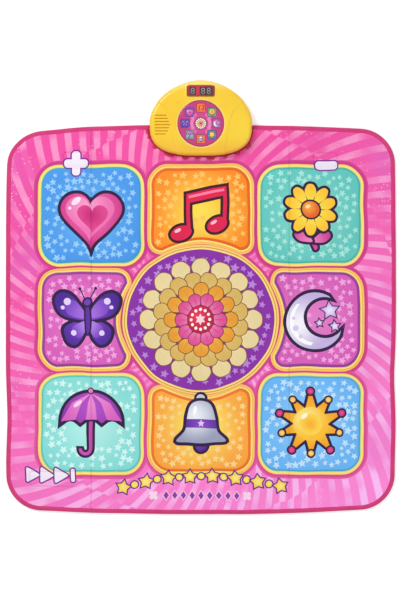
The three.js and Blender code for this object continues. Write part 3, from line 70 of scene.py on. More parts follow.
camera_data = bpy.data.cameras.new("camera")
camera_data.sensor_fit = "VERTICAL"
camera_data.sensor_height = SENSOR_TALL
camera_data.lens = SENSOR_TALL * CAMERA_HEIGHT / VIEW_TALL
camera = bpy.data.objects.new("camera", camera_data)
camera.location = (*VIEW_MIDDLE, CAMERA_HEIGHT)
bpy.context.collection.objects.link(camera)
bpy.context.scene.camera = camera
bpy.context.scene.view_settings.view_transform = "Standard"
print("lens", round(camera_data.lens, 1), "mm")


# %% Helpers for finishes
def ink(code, alpha=1.0):
    """A colour written as six hexadecimal digits, in the linear values that shaders use."""
    parts = [int(code[i : i + 2], 16) / 255 for i in (1, 3, 5)]
    linear = [c / 12.92 if c <= 0.04045 else ((c + 0.055) / 1.055) ** 2.4 for c in parts]
    return (*linear, alpha)


def finish(name, colour, roughness, **sockets):
    """A new material and its shader. Keyword names are socket names with _ for a space."""
    material = bpy.data.materials.new(name)
    material.use_nodes = True
    shader = material.node_tree.nodes["Principled BSDF"]
    shader.inputs["Base Color"].default_value = ink(colour)
    shader.inputs["Roughness"].default_value = roughness
    for socket, value in sockets.items():
        shader.inputs[socket.replace("_", " ")].default_value = value
    return material, shader


def node(material, kind, values=None, **settings):
    """Adds a node. A value that is a socket is linked, and any other is set."""
    made = material.node_tree.nodes.new("ShaderNode" + kind)
    for name, value in settings.items():
        setattr(made, name, value)
    for key, value in (values or {}).items():
        if isinstance(value, bpy.types.NodeSocket):
            material.node_tree.links.new(value, made.inputs[key])
        else:
            made.inputs[key].default_value = value
    return made


def maths(material, operation, *values):
    return node(material, "Math", dict(enumerate(values)), operation=operation).outputs[0]


def mixed(material, share, first, second):
    """A colour between two others."""
    return node(material, "Mix", {0: share, 6: first, 7: second}, data_type="RGBA").outputs[2]


def link(material, output, target):
    material.node_tree.links.new(output, target)


print("finishes are made from shader nodes alone")

# %% Lay the floor and light the room
WHITE = (1, 1, 1, 1)
FLOOR_SIZE = 80.0
FLOOR_DROP = 0.0005
ROOM_GLOW = 0.62
ROOM_SEEN = 0.3
floor_mesh = bpy.data.meshes.new("floor")
half = FLOOR_SIZE / 2
floor_corners = [(-half, -half, 0), (half, -half, 0), (half, half, 0), (-half, half, 0)]
floor_mesh.from_pydata(floor_corners, [], [(0, 1, 2, 3)])
floor = bpy.data.objects.new("floor", floor_mesh)
floor.location.z = -FLOOR_DROP
bpy.context.collection.objects.link(floor)
floor_finish, floor_shader = finish("pale_floor", "#F4F4F4", 0.9, Specular_IOR_Level=0.1)
seen = node(floor_finish, "LightPath").outputs["Is Camera Ray"]
link(floor_finish, maths(floor_finish, "MULTIPLY", seen, ROOM_SEEN), floor_shader.inputs["Emission Strength"])
floor_shader.inputs["Emission Color"].default_value = WHITE
floor_mesh.materials.append(floor_finish)

world = bpy.data.worlds.new("studio")
world.use_nodes = True
backdrop = world.node_tree.nodes["Background"]
backdrop.inputs["Color"].default_value = WHITE
direct = node(world, "LightPath").outputs["Is Camera Ray"]
link(world, maths(world, "MULTIPLY_ADD", direct, ROOM_SEEN, ROOM_GLOW), backdrop.inputs["Strength"])
bpy.context.scene.world = world


def soft_light(name, place, size, watts):
    """A round lamp that looks at the middle of the mat."""
    data = bpy.data.lights.new(name, "AREA")
    data.shape = "DISK"
    data.size = size
    data.energy = watts
    light = bpy.data.objects.new(name, data)
    light.location = place
    light.rotation_euler = (-Vector(place)).to_track_quat("-Z", "Y").to_euler()
    bpy.context.collection.objects.link(light)


soft_light("key_light", (-1.6, 1.8, 2.6), size=1.4, watts=52)
soft_light("fill_light", (2.2, -1.6, 2.8), size=2.4, watts=20)
print("lit by two soft discs and a pale room")

# %% [markdown]
# ## Plans shared with the solids
# The cloth has to lie exactly over the pads, so the plans of the mat, the tiles and the controller are
# worked out here with the same formulas as the solids. They could be read back from the solids' meshes,
# but a formula gives as many points as the print needs, and in order. Each plan is a list of points,
# counter-clockwise.

# %% Sizes of the mat
MAT_WIDTH = 902
MAT_LENGTH = 880
MAT_CORNER = 78
SIDE_BOW = 2
END_BOW = 12
MAT_REAR = MAT_LENGTH / 2 + END_BOW
SIDE_MARGIN = 81.5
END_MARGIN = 100
TILE_GAP = (25.5, 22.4)
TILE_WIDTH = (MAT_WIDTH - 2 * SIDE_MARGIN - 2 * TILE_GAP[0]) / 3
TILE_HEIGHT = (2 * MAT_REAR - 2 * END_MARGIN - 2 * TILE_GAP[1]) / 3
COLUMN = TILE_WIDTH + TILE_GAP[0]
ROW = TILE_HEIGHT + TILE_GAP[1]
TILE_CORNER = 42
HOLLOW = 24
TIP = 26
END_SHIFT, SIDE_SHIFT = 14, 16
END_MOTIF_SHIFT, SIDE_MOTIF_SHIFT = 6, 8
COVER_LEVEL = 5.7
print("tile", round(TILE_WIDTH, 1), "by", round(TILE_HEIGHT, 1), "mm")


# %% Outline helpers
def arc(x, y, radius, start, end, steps):
    """Points on an arc; angles in quarter turns."""
    turns = [(start + (end - start) * i / steps) * math.pi / 2 for i in range(steps + 1)]
    return [(x + radius * math.cos(t), y + radius * math.sin(t)) for t in turns]


def oval(x, y, across, along=None, turn=0.0, steps=32):
    along = across if along is None else along
    points = [(across * c, along * s) for c, s in arc(0, 0, 1, 0, 4, steps)[:-1]]
    return placed(points, x, y, turn)


def placed(points, x=0.0, y=0.0, turn=0.0, size=1.0):
    """An outline scaled, turned by degrees and moved."""
    c, s = math.cos(math.radians(turn)), math.sin(math.radians(turn))
    return [(x + size * (a * c - b * s), y + size * (a * s + b * c)) for a, b in points]


def round_box(x, y, width, height, radius, steps=10):
    right, rear = x + width / 2 - radius, y + height / 2 - radius
    left, front = x - width / 2 + radius, y - height / 2 + radius
    corners = [(right, rear, 0), (left, rear, 1), (left, front, 2), (right, front, 3)]
    return [p for cx, cy, q in corners for p in arc(cx, cy, radius, q, q + 1, steps)]


def bezier(a, b, c, steps):
    shares = [i / steps for i in range(steps + 1)]
    return [tuple((1 - t) ** 2 * p + 2 * t * (1 - t) * q + t * t * r for p, q, r in zip(a, b, c))
            for t in shares]


SHARPEST = 0.35


def inset(points, distance):
    """Every edge moved inwards by one distance, or outwards if it is negative."""
    moved = []
    for i, (x, y) in enumerate(points):
        (ax, ay), (bx, by) = points[i - 1], points[(i + 1) % len(points)]
        first = Vector((x - ax, y - ay)).normalized()
        second = Vector((bx - x, by - y)).normalized()
        along = (first + second).normalized()
        inwards = Vector((-along.y, along.x))
        square = max(first.x * inwards.y - first.y * inwards.x, SHARPEST)
        moved.append((x + inwards.x * distance / square, y + inwards.y * distance / square))
    return moved


def soft_corners(points, radius, steps=5):
    """A polygon whose corners are rounded by short curves that start one radius before each corner."""
    curve = []
    for i, corner in enumerate(points):
        here, before, after = (Vector(p) for p in (corner, points[i - 1], points[(i + 1) % len(points)]))
        start, end = here + (before - here).normalized() * radius, here + (after - here).normalized() * radius
        curve += bezier(start, here, end, steps)
    return curve


def mirrored(shape):
    """The same outline on the other side of the Y axis, still counter-clockwise."""
    return [(-a, b) for a, b in shape][::-1]


def smooth_loop(points, steps=6):
    """A closed curve through a few points."""
    count, curve = len(points), []
    for i in range(count):
        a, b, c, d = (Vector(points[(i + k) % count]) for k in (-1, 0, 1, 2))
        for k in range(steps):
            t = k / steps
            p = 0.5 * (2 * b + (c - a) * t + (2 * a - 5 * b + 4 * c - d) * t * t
                       + (3 * b - a - 3 * c + d) * t**3)
            curve.append((p.x, p.y))
    return curve


def wander(x, y, across, along, seed):
    """A smooth chance value. across and along are the lengths of its waves, and each seed gives another."""
    return noise.noise(Vector((x / across, y / along, seed)))


print("a hundred-millimetre disc has", len(oval(0, 0, 50)), "points")


# %% Plans of the mat and its tiles
RIM_WAVER = 1.2
PULLS = [(-385, 420, 6, 75), (-450, -225, 3.4, 70), (450, -140, 3.6, 60), (400, -420, 3, 110)]


def mat_outline(steps=18):
    """The rim, with the slight waver of a soft mat. Each pull has a place, a depth and a width."""
    corners = round_box(0, 0, MAT_WIDTH, MAT_LENGTH, MAT_CORNER, steps)
    points = []
    for i, (x, y) in enumerate(corners):
        nx, ny = corners[(i + 1) % len(corners)]
        count = 24 if math.dist((x, y), (nx, ny)) > MAT_CORNER else 1
        points += [(x + (nx - x) * k / count, y + (ny - y) * k / count) for k in range(count)]
    bowed = []
    for x, y in points:
        across, along = 2 * x / MAT_WIDTH, 2 * y / MAT_LENGTH
        waver = RIM_WAVER * wander(x, y, 120, 120, 4.4)
        waver -= sum(depth * math.exp(-((x - a) ** 2 + (y - b) ** 2) / width**2)
                     for a, b, depth, width in PULLS)
        sideways = across * (SIDE_BOW * (1 - along**2) + waver)
        endways = along * (END_BOW * (1 - across**2) + waver)
        bowed.append((x + sideways, y + endways))
    return bowed


def hollowed_tile(width, depth):
    """A tile whose front edge is hollowed round the middle of the mat."""
    side, front, rear = width / 2, -depth / 2, depth / 2
    reach, corner = side - TIP, side - TILE_CORNER
    hollow = bezier((-reach, front), (0, front + 2 * HOLLOW), (reach, front), 24)
    tip = bezier((reach, front), (side, front), (side, front + TIP), 8)[1:]
    right = arc(corner, rear - TILE_CORNER, TILE_CORNER, 0, 1, 10)
    left = arc(-corner, rear - TILE_CORNER, TILE_CORNER, 1, 2, 10)
    return hollow + tip + right + left + mirrored(tip)


def key_places(end_shift, side_shift):
    """Eight places from the rear left corner on. Those at the ends and sides stand out by a shift."""
    rear = [(-COLUMN, ROW), (0, ROW + end_shift), (COLUMN, ROW)]
    sides = [(-COLUMN - side_shift, 0), (COLUMN + side_shift, 0)]
    return rear + sides + [(x, -y) for x, y in rear]


def tile_plans():
    corner = round_box(0, 0, TILE_WIDTH, TILE_HEIGHT, TILE_CORNER)
    end = hollowed_tile(TILE_WIDTH, TILE_HEIGHT - 2 * END_SHIFT)
    side = hollowed_tile(TILE_HEIGHT, TILE_WIDTH - 2 * SIDE_SHIFT)
    plans = [corner, end, corner, side, side, corner, end, corner]
    turns = [0, 0, 0, 90, -90, 0, 180, 0]
    return [placed(plan, *middle, turn) for plan, middle, turn in zip(plans, MIDDLES, turns)]


MIDDLES = key_places(END_SHIFT, SIDE_SHIFT)
CENTRES = key_places(END_MOTIF_SHIFT, SIDE_MOTIF_SHIFT)
RIM = mat_outline()
TILES = tile_plans()
print(len(RIM), "points round the mat and", len(TILES), "tiles")

# %% [markdown]
# ## The print as a list of shapes
# A printed cloth is drawn here as a printer would separate it: a list of flat shapes, each painted over
# the ones before it. An image is the usual way to hold a print, but it turns soft when the camera comes
# close. So the mesh of the cloth is later cut along every outline instead, and each face takes its colour
# from the last shape that covers it. A shape may shade from one colour at its middle to another at a
# given reach.

# %% Start the list of shapes
PRINT = []


def paint(outline, colour, outer=None, middle=(0, 0), reach=100.0):
    inner = ink(colour)
    PRINT.append((outline, inner, ink(outer) if outer else inner, middle, reach))


def bordered(outline, line, width, colour, outer=None, middle=(0, 0), reach=100.0):
    """A shape with a line of its own round it."""
    paint(inset(outline, -width), line)
    paint(outline, colour, outer, middle, reach)


def star(x, y, size, turn=0.0, points=5, waist=0.48):
    tips = []
    for i in range(2 * points):
        angle = math.pi * i / points + math.pi / 2
        radius = 1 if i % 2 == 0 else waist
        tips.append((radius * math.cos(angle), radius * math.sin(angle)))
    return placed(tips, x, y, turn, size)


def petal(length, width, start=0.0):
    """A rounded petal that points along +Y."""
    side = [(width * a, start + length * b) for a, b in ((0.34, 0.3), (0.5, 0.62), (0.3, 0.93))]
    return smooth_loop([(0, start), *side, (0, start + length), *mirrored(side)])


print("the print is empty")

# %% [markdown]
# The borders come first. Every tile has a deep pink margin that fades outwards, and a yellow line. The
# orange, violet and round fields have a finer orange line between two yellows. Each border is the tile's
# own plan, grown by a few millimetres, so that its line keeps one width round every corner.

# %% Borders
DISC = (0, 0, 171, 162)
YELLOW, AMBER, ORANGE_LINE = "#FFE27A", "#FFC45C", "#F2A03C"
FINE_BORDERS = (1, 3, 4, 6)
# painted light: the margins of the front-row tiles are a lighter pink than those at the rear
MARGIN_PINKS = [(18, "#E2509E", "#EC6CB2"), (16.6, "#D33C8C", "#E2549F"), (13, "#CC3588", "#DA4694")]
FINE_LINES = [(9.6, AMBER), (5.6, ORANGE_LINE), (4.4, YELLOW)]
PLAIN_LINES = [(8.4, AMBER), (7.2, YELLOW), (2.4, "#CFDF86"), (1.2, "#7CC9A0")]
DISC_LINES = [(12, "#D98A45"), (11, "#FFD07A"), (7, "#CC8A3A"), (5, YELLOW), (1, "#8E2A86")]
DISC_RING = [oval(DISC[0], DISC[1], DISC[2] + grow, DISC[3] + grow, steps=96) for grow in range(19)]
for grow, rear_pink, front_pink in MARGIN_PINKS:
    for plan in TILES:
        paint(inset(plan, -grow), rear_pink if max(y for _, y in plan) > 0 else front_pink)
    paint(DISC_RING[round(grow)], rear_pink)
for number, plan in enumerate(TILES):
    for grow, colour in FINE_LINES if number in FINE_BORDERS else PLAIN_LINES:
        paint(inset(plan, -grow), colour)
for grow, colour in DISC_LINES:
    paint(DISC_RING[grow], colour)
print(len(PRINT), "border shapes")

# %% [markdown]
# Each field has a narrow edge, shades from a lighter middle to its own outer colour, and has small stars
# near its rim. They are placed at random but never too near each other, from a fixed seed, so that every
# run gives the same ones.

# %% Fields and scattered stars
# painted light: the last three fields, the front row, are lighter copies of the matching rear fields
FIELDS = [
    ("#2FA3DA", "#66B4F4", "#4798EA", "#96CCFA"),
    ("#EE6614", "#FFE14E", "#FF8F1E", "#FFC868"),
    ("#45B6AE", "#8CD9CB", "#5FC8C0", "#A6E6DB"),
    ("#9A3A9C", "#E67ECB", "#D95CBA", "#F3A6E2"),
    ("#9A3A9C", "#E67ECB", "#D95CBA", "#F3A6E2"),
    ("#5CCBC6", "#B4F0EA", "#86DED9", "#D2F8F4"),
    ("#F27420", "#FFEA66", "#FFA53A", "#FFD88A"),
    ("#46A6E6", "#94D2FF", "#68B6F8", "#C2E4FF"),
]
FINE_EDGE, PLAIN_EDGE = 6.2, 3


def distance_inside(points, outline):
    """How far each point lies inside an outline; outside it is negative."""
    p = np.asarray(points, float)[:, None, :]
    a = np.asarray(outline, float)
    b = np.roll(a, -1, axis=0)
    edge = b - a
    share = np.clip(((p - a) * edge).sum(2) / (edge**2).sum(1), 0, 1)
    gap = np.sqrt(((p - a - share[..., None] * edge) ** 2).sum(2)).min(1)
    x, y = p[..., 0], p[..., 1]
    crosses = (a[:, 1] > y) != (b[:, 1] > y)
    with np.errstate(divide="ignore", invalid="ignore"):
        cut = x < (b[:, 0] - a[:, 0]) * (y - a[:, 1]) / (b[:, 1] - a[:, 1]) + a[:, 0]
    return np.where((crosses & cut).sum(1) % 2 == 1, gap, -gap)


def scatter(seed, outline, low, high, tries, spacing, sizes):
    """Places and sizes of stars whose distance from the rim is between two limits."""
    dice = random.Random(seed)
    xs, ys = zip(*outline)
    spots = [(dice.uniform(min(xs), max(xs)), dice.uniform(min(ys), max(ys))) for _ in range(tries)]
    depth = distance_inside(spots, outline)
    chosen = []
    for (x, y), d in zip(spots, depth):
        if low < d < high and all(math.dist((x, y), (u, v)) > spacing for u, v, *_ in chosen):
            chosen.append((x, y, dice.uniform(*sizes), dice.uniform(0, 72)))
    return chosen


def scatter_stars(colour, **limits):
    for x, y, size, turn in scatter(**limits):
        paint(star(x, y, size, turn), colour)


for number, (plan, (edge_ink, middle_ink, outer_ink, star_ink)) in enumerate(zip(TILES, FIELDS)):
    paint(plan, edge_ink)
    field_plan = inset(plan, FINE_EDGE if number in FINE_BORDERS else PLAIN_EDGE)
    paint(field_plan, middle_ink, outer_ink, CENTRES[number], 120)
    scatter_stars(star_ink, seed=number, outline=field_plan, low=8, high=50, tries=1500, spacing=14.4,
                  sizes=(6.0, 10.4))
paint(DISC_RING[0], "#6E1A92", "#8B2BA8", (0, 0), 180)
scatter_stars("#B985D8", seed=20, outline=DISC_RING[0], low=9, high=27, tries=1200, spacing=17,
              sizes=(7.5, 12))
print(len(PRINT), "shapes so far, most of them stars")

# %% [markdown]
# A motif on each key tells the player where to step. These are plain signs of everyday things: a heart,
# notes, a flower, a butterfly, a moon, an umbrella, a bell and a sun. Each has a dark outline, a shaded
# body, lighter and darker parts, and a glint. They could be traced point by point, but ovals, arcs, petals
# and rounded boxes need far fewer numbers, and each is easy to move or to make larger.

# %% Heart
NIGHT = "#2B1040"
FIRST_MOTIF = len(PRINT)


def heart(x, y, size):
    """The classic curve, without the points that crowd at its dip."""
    steps = [i for i in range(88) if i in (0, 44) or abs(math.sin(math.pi * i / 44)) > 0.26]
    turns = [2 * math.pi * i / 88 for i in reversed(steps)]
    across = [16 * math.sin(t) ** 3 for t in turns]
    along = [13 * math.cos(t) - 5 * math.cos(2 * t) - 2 * math.cos(3 * t) - math.cos(4 * t) for t in turns]
    return placed(list(zip(across, along)), x, y, 0, size)


def heart_border(outline, axis, width):
    """A heart grown by a width. Points of either lobe that would cross the axis at the dip are left out."""
    grown = inset(outline, -width)
    tip = min(y for _, y in outline)
    return [p for p, q in zip(grown, outline) if (p[0] - axis) * (q[0] - axis) > 0.01 or q[1] == tip]


x, y = CENTRES[0]
body = heart(x, y - 2, 4.5)
paint(heart_border(body, x, 7.2), NIGHT)
paint(body, "#EE6FB4", "#D02C86", (x, y + 10), 90)
paint(heart(x - 3, y + 2, 3.6), "#F99CCB", "#EE6FB4", (x - 8, y + 22), 60)
paint(heart(x + 3, y - 3, 2.3), "#C9227A", "#E0458F", (x, y), 40)
paint(oval(x - 36, y + 34, 13, 7, 38, 20), "#FFE3F1")
paint(oval(x - 51, y + 17, 4, 4, 0, 12), "#FFE3F1")
print("heart drawn")

# %% Notes
x, y = CENTRES[1]
beam = [(-33.5, 44), (59.5, 63), (59.5, 41), (-33.5, 22)][::-1]
for grow, colour in ((6.4, "#3A0A1E"), (0, "#E3184F")):
    for dx, dy in ((-46, -46), (38, -28)):
        paint(inset(placed(round_box(0, 0, 9, 84, 3), x + dx + 17, y + dy + 44), -grow), colour)
        paint(oval(x + dx, y + dy, 24 + grow, 17 + grow, 20), colour)
    paint(inset(placed(beam, x, y), -grow), colour)
paint(placed([(-28, 40), (54, 57), (54, 51), (-28, 34)][::-1], x, y), "#FF7FA0")
for dx, dy in ((-54, -40), (30, -22)):
    paint(oval(x + dx, y + dy, 8, 4, 30, 16), "#FFC2D2")
print("notes drawn")

# %% Flower
x, y = CENTRES[2]
stem = [(-6, -20), (-2, -48), (8, -78), (16, -74), (7, -48), (4, -20)]
leaf = petal(44, 24)
bordered(placed(smooth_loop(stem), x, y), NIGHT, 6, "#D8409C")
for turn in (-70, 62):
    bordered(placed(leaf, x + 4, y - 60, turn), NIGHT, 5.8, "#F27EC0", "#C93A98", (x, y - 60), 50)
for layer, (grow, colour) in enumerate(((6.2, NIGHT), (0, "#FFE94F"))):
    for i in range(10):
        blade = inset(petal(46, 25, 14), -grow)
        paint(placed(blade, x, y + 14, i * 36), colour, None if layer == 0 else "#FFC52E", (x, y + 14), 62)
bordered(oval(x, y + 14, 19), NIGHT, 4, "#FFA63C", "#E8641E", (x - 5, y + 20), 24)
paint(oval(x - 6, y + 21, 6, 4, 30, 14), "#FFE2A8")
print("flower drawn")

# %% Butterfly
x, y = CENTRES[3]
upper_wing = smooth_loop([(3, 4), (30, 50), (58, 62), (74, 46), (62, 14), (30, 2)][::-1])
lower_wing = smooth_loop([(3, 0), (34, -6), (56, -22), (48, -50), (28, -58), (10, -34)][::-1])


def unturned(shape):
    return shape


for side in (unturned, mirrored):
    for wing in (lower_wing, upper_wing):
        bordered(placed(side(wing), x, y), NIGHT, 7.4, "#7B3FC4", "#4A1F96", (x, y), 80)
    paint(placed(side(upper_wing), x, y + 3, 0, 0.72), "#A770E0", "#7B3FC4", (x, y + 10), 60)
    paint(placed(side(lower_wing), x, y - 3, 0, 0.66), "#B98BEA", "#7B3FC4", (x, y - 8), 44)
    for dx, dy, r in ((46, 42, 8), (56, 28, 4.5), (34, -30, 6.5)):
        paint(placed(side(oval(dx, dy, r, steps=18)), x, y), "#E6D2FA")
bordered(oval(x, y + 2, 5.5, 34, 0, 24), NIGHT, 4, "#5B2AA0")
bordered(oval(x, y + 40, 8, steps=20), NIGHT, 4, "#6E3AB6")
for side in (-1, 1):
    paint(placed(round_box(0, 0, 2.6, 30, 1.2), x + side * 11, y + 58, -side * 26), NIGHT)
    paint(oval(x + side * 18, y + 72, 3.6, steps=14), NIGHT)
print("butterfly drawn")

# %% Moon
x, y = CENTRES[4]
outer = arc(0, 0, 66, 0.68, 3.77, 40)
inner = arc(22, 8, 48, 3.60, 0.85, 32)
tips = [(35, 54), (55, -38)]
crescent = placed(outer + [tips[1]] + inner + [tips[0]], x + 2, y - 4)
bordered(crescent, NIGHT, 7.4, "#FBF7FF", "#C4B2E4", (x - 34, y - 10), 74)
paint(placed(arc(0, 0, 58, 1.5, 2.9, 20) + arc(5, 3, 54, 2.9, 1.5, 20), x + 2, y - 4), "#FFFFFF")
for dx, dy, r in ((36, 20, 22), (48, -16, 12), (12, -10, 9)):
    bordered(star(x + dx, y + dy, r, 8, 5, 0.5), NIGHT, 2.4, "#F5E8FF", "#BE9BE8", (x + dx, y + dy), r)
for dx, dy, r in ((-42, -20, 7), (-30, -40, 4.6), (-47, 4, 4)):
    paint(oval(x + dx, y + dy, r, steps=18), "#D9CBF0")
print("moon drawn")

# %% Umbrella
x, y = CENTRES[5]
scallops = [(-58, 9), (-46.7, 12), (-35, 9), (-23.3, 0), (-12, 9)]
canopy = arc(0, 0, 70, 0, 2, 28) + scallops + [(0, 12)] + mirrored(scallops)
hook = arc(-13, -52, 16, 2, 4, 14) + arc(-13, -52, 8.5, 4, 2, 14)
handle = placed(round_box(0, 0, 7.5, 76, 3), x - 0.5, y - 22)
paint(inset(handle, -5.8), NIGHT)
bordered(placed(hook, x, y - 6), NIGHT, 5.8, "#C94FB4")
paint(handle, "#C94FB4")
bordered(placed(canopy, x, y + 2), NIGHT, 7.4, "#B44CC8", "#8A2FA6", (x, y + 40), 80)
for left, right in ((-70, -35), (-12, 12), (35, 70)):
    feet = [(foot, 4 if abs(foot) == 70 else 8) for foot in (left, right)]
    gore = [*feet, (right * 0.62, 46), (0, 69), (left * 0.62, 46)]
    paint(placed(gore, x, y + 2), "#F08AD4", "#D85FC0", (x, y + 60), 80)
bordered(oval(x, y + 76, 5, steps=16), NIGHT, 2.6, "#F08AD4")
paint(oval(x - 30, y + 46, 12, 4.5, 38, 16), "#FBD3F0")
print("umbrella drawn")

# %% Bell
x, y = CENTRES[6]
bell_side = [(-22, 52), (-32, 24), (-38, -10), (-58, -34), (-30, -38)]
bell = smooth_loop([(0, 60), *bell_side, (0, -40), *mirrored(bell_side)])
bordered(oval(x, y + 66, 10, steps=20), NIGHT, 6, "#C9CDDD")
bordered(oval(x, y - 46, 14, 12, 0, 20), NIGHT, 6, "#7A3AB8", "#4F1F8E", (x - 4, y - 42), 18)
bordered(placed(bell, x, y), NIGHT, 7.4, "#EEF0F8", "#9AA0BC", (x - 14, y + 22), 66)
paint(placed([(-33.5, 16), (33.5, 16), (37, -4), (-37, -4)][::-1], x, y), "#8A46C6", "#5E2A9E", (x, y), 40)
paint(oval(x - 14, y + 36, 4.5, 12, -12, 16), "#FFFFFF")
paint(star(x, y + 6, 9, 0), "#E4CCFA")
print("bell drawn")

# %% Sun
x, y = CENTRES[7]
for grow, colour, outer in ((6.4, NIGHT, None), (0, "#FFD23A", "#F59A14")):
    for i in range(10):
        length, width = (43, 28) if i % 2 == 0 else (38, 26)
        ray = inset([(-width / 2, 30), (width / 2, 30), (2.4, 30 + length), (-2.4, 30 + length)], -grow)
        paint(placed(ray, x, y, i * 36), colour, outer, (x, y), 80)
    paint(oval(x, y, 40 + grow, steps=40), colour)
paint(oval(x, y, 40, steps=40), "#FFF08A", "#FFC02A", (x - 10, y + 12), 50)
paint(oval(x, y, 25, steps=32), "#FFB321", "#FFD84C", (x, y), 26)
paint(oval(x - 14, y + 19, 9, 5, 40, 16), "#FFFBE0")
BEADS = [(76, 7.5, ("#F4579E", "#C92070")), (69, 6.5, ("#FFF08A", "#F0A020"))]
for i in range(10):
    reach, size, colours = BEADS[i % 2]
    bead = placed([(0, reach)], x, y, i * 36)[0]
    bordered(oval(*bead, size, steps=18), NIGHT, 4, *colours, bead, 8)
print("sun drawn")

# %% [markdown]
# The round middle holds a rosette of cream, gold and rose petals in layers, each petal with a fine brown
# line and a lighter rib, round a crimson heart of beads. One petal is drawn for each layer and turned
# about the middle, which keeps the layer even.

# %% Rosette
BROWN, CRIMSON = "#7E4A1E", "#8E1C50"
PETALS = [(16, 44, 50, 92, "#FBF3D8", "#E9D49A", BROWN), (16, 40, 44, 66, "#F6E3AE", "#D9B45E", BROWN),
          (12, 34, 42, 44, "#F9D86C", "#E89A2C", BROWN), (10, 30, 36, 24, "#F7A3CB", "#DE4C92", CRIMSON)]
for ring, (count, width, length, start, colour, outer, line) in enumerate(PETALS):
    for i in range(count):
        turn = (i + 0.5 * (ring % 2)) * 360 / count
        blade = petal(length, width, start)
        paint(placed(inset(blade, -1.8), 0, 0, turn), line)
        paint(placed(blade, 0, 0, turn), colour, outer, (0, 0), start + length)
        paint(placed(petal(length * 0.6, width * 0.16, start + length * 0.24), 0, 0, turn), outer)
bordered(oval(0, 0, 30, steps=40), CRIMSON, 2, "#F0325C", "#C0123C", (-6, 8), 34)
for i in range(12):
    paint(oval(*placed([(0, 22)], 0, 0, i * 30)[0], 3.6, steps=14), "#FFF4F6")
paint(star(0, 0, 13, 0, 6, 0.55), "#FFD9E2")
print(len(PRINT), "shapes so far")

# %% [markdown]
# Signs for the small keys and a trimming near the front edge stand on the field itself: plus and minus
# for the volume, three arrowheads for start, an arched garland of beads and stars, and a row of lozenges
# between two small flowers. The signs are painted twice, first a little larger in the colour of their line.

# %% Signs and garland
LILAC, PLUM, VIOLET = "#F4E9F8", "#7A2C92", "#5A2A86"


def bar(width, height):
    return round_box(0, 0, width, height, min(width, height) * 0.42)


for grow, colour in ((3.4, PLUM), (0, LILAC)):
    for width, height in ((55, 19), (19, 55)):
        paint(inset(placed(bar(width, height), -290, 363), -grow), colour)
    paint(inset(placed(bar(52, 19), 291, 359), -grow), colour)
    for dx in (-34, 0, 34):
        arrow = soft_corners([(-15, 19), (-15, -19), (19, 0)], 6)
        paint(inset(placed(arrow, -358 + dx, -361), -grow), colour)
    paint(inset(placed(bar(9, 30), -296, -361), -grow), colour)

for i in range(15):
    share = (i - 7) / 7
    spot = (2 + 182 * share, -388 + 24 * (1 - share**2))
    if i % 2:
        bordered(oval(*spot, 7.6, steps=20), VIOLET, 3, "#FFF08A", "#FFD23A", spot, 9)
    else:
        bordered(star(*spot, 16.5, 10 * share, 5, 0.58), VIOLET, 3, "#FFF08A", "#FFC92E", spot, 15)
for i in range(9):
    spot = ((i - 4) * 20.5, -409)
    bordered(placed([(0, 9), (-6.5, 0), (0, -9), (6.5, 0)], *spot), "#F7C6E6", 2, "#8B3AA8")
for x in (-111, 107):
    for turn in (45, 135, 225, 315):
        paint(placed(petal(11, 10), x, -409, turn), "#FBD9EE")
print(len(PRINT), "shapes in the print")

# %% [markdown]
# ## The lie of the cloth
# The cloth is one height over the whole mat. It domes over every pad, stands up along the two lines where
# the mat was folded in its box, waves and creases a little everywhere, and ripples where the controller
# grips it. A simulated cloth could find such folds by itself, but it takes half a minute at every run and
# stays standing off the foam. So one function gives that height, and neighbouring pieces of cloth meet
# without a step.

# %% Height of the cloth
GRIP = 71
CONTROLLER = {"half_width": 119, "front": 76.6, "rear": 96.8, "y": MAT_REAR - GRIP + 76.6}
FOLDS = (-255, 205)
FOLD_ROWS = (-7, -2.5, 0, 0.8, 2)
FOLD_SHADE = (0.8, 0.88)
DOME, SMALL_DOME = 2.3, 2.1
DIP = 0.28
RIDGE = 1.3
SOFT, FINE, CRUMPLE, CREASES = (95, 95, 3.1), (26, 26, 8.4), (46, 150, 5.7), (120, 120, 22.5)
SMALL_ROW = ROW + TILE_HEIGHT / 2 + 19
SMALL_KEYS = [
    round_box(-COLUMN - 35, SMALL_ROW, 56, 34, 9),
    round_box(COLUMN + 35, SMALL_ROW, 56, 34, 9),
    round_box(-COLUMN - 83, -SMALL_ROW, 124, 34, 9),
]


def controller_outline(growth=0.0, steps=160):
    points = []
    for i in range(steps):
        angle = 2 * math.pi * i / steps
        c, s = math.cos(angle), math.sin(angle)
        power = 2 / (1.82 if s >= 0 else 3.0)
        depth = CONTROLLER["rear"] if s >= 0 else CONTROLLER["front"]
        points.append((CONTROLLER["half_width"] * math.copysign(abs(c) ** power, c),
                       CONTROLLER["y"] + depth * math.copysign(abs(s) ** power, s)))
    return inset(points, -growth) if growth else points


def rise(depth, height, softness):
    """How high a soft thing stands at a depth inside its outline."""
    return height * (1 - np.exp(-np.maximum(depth, 0) / softness))


def waves(points, kind):
    return np.array([wander(a, b, *kind) for a, b in points])


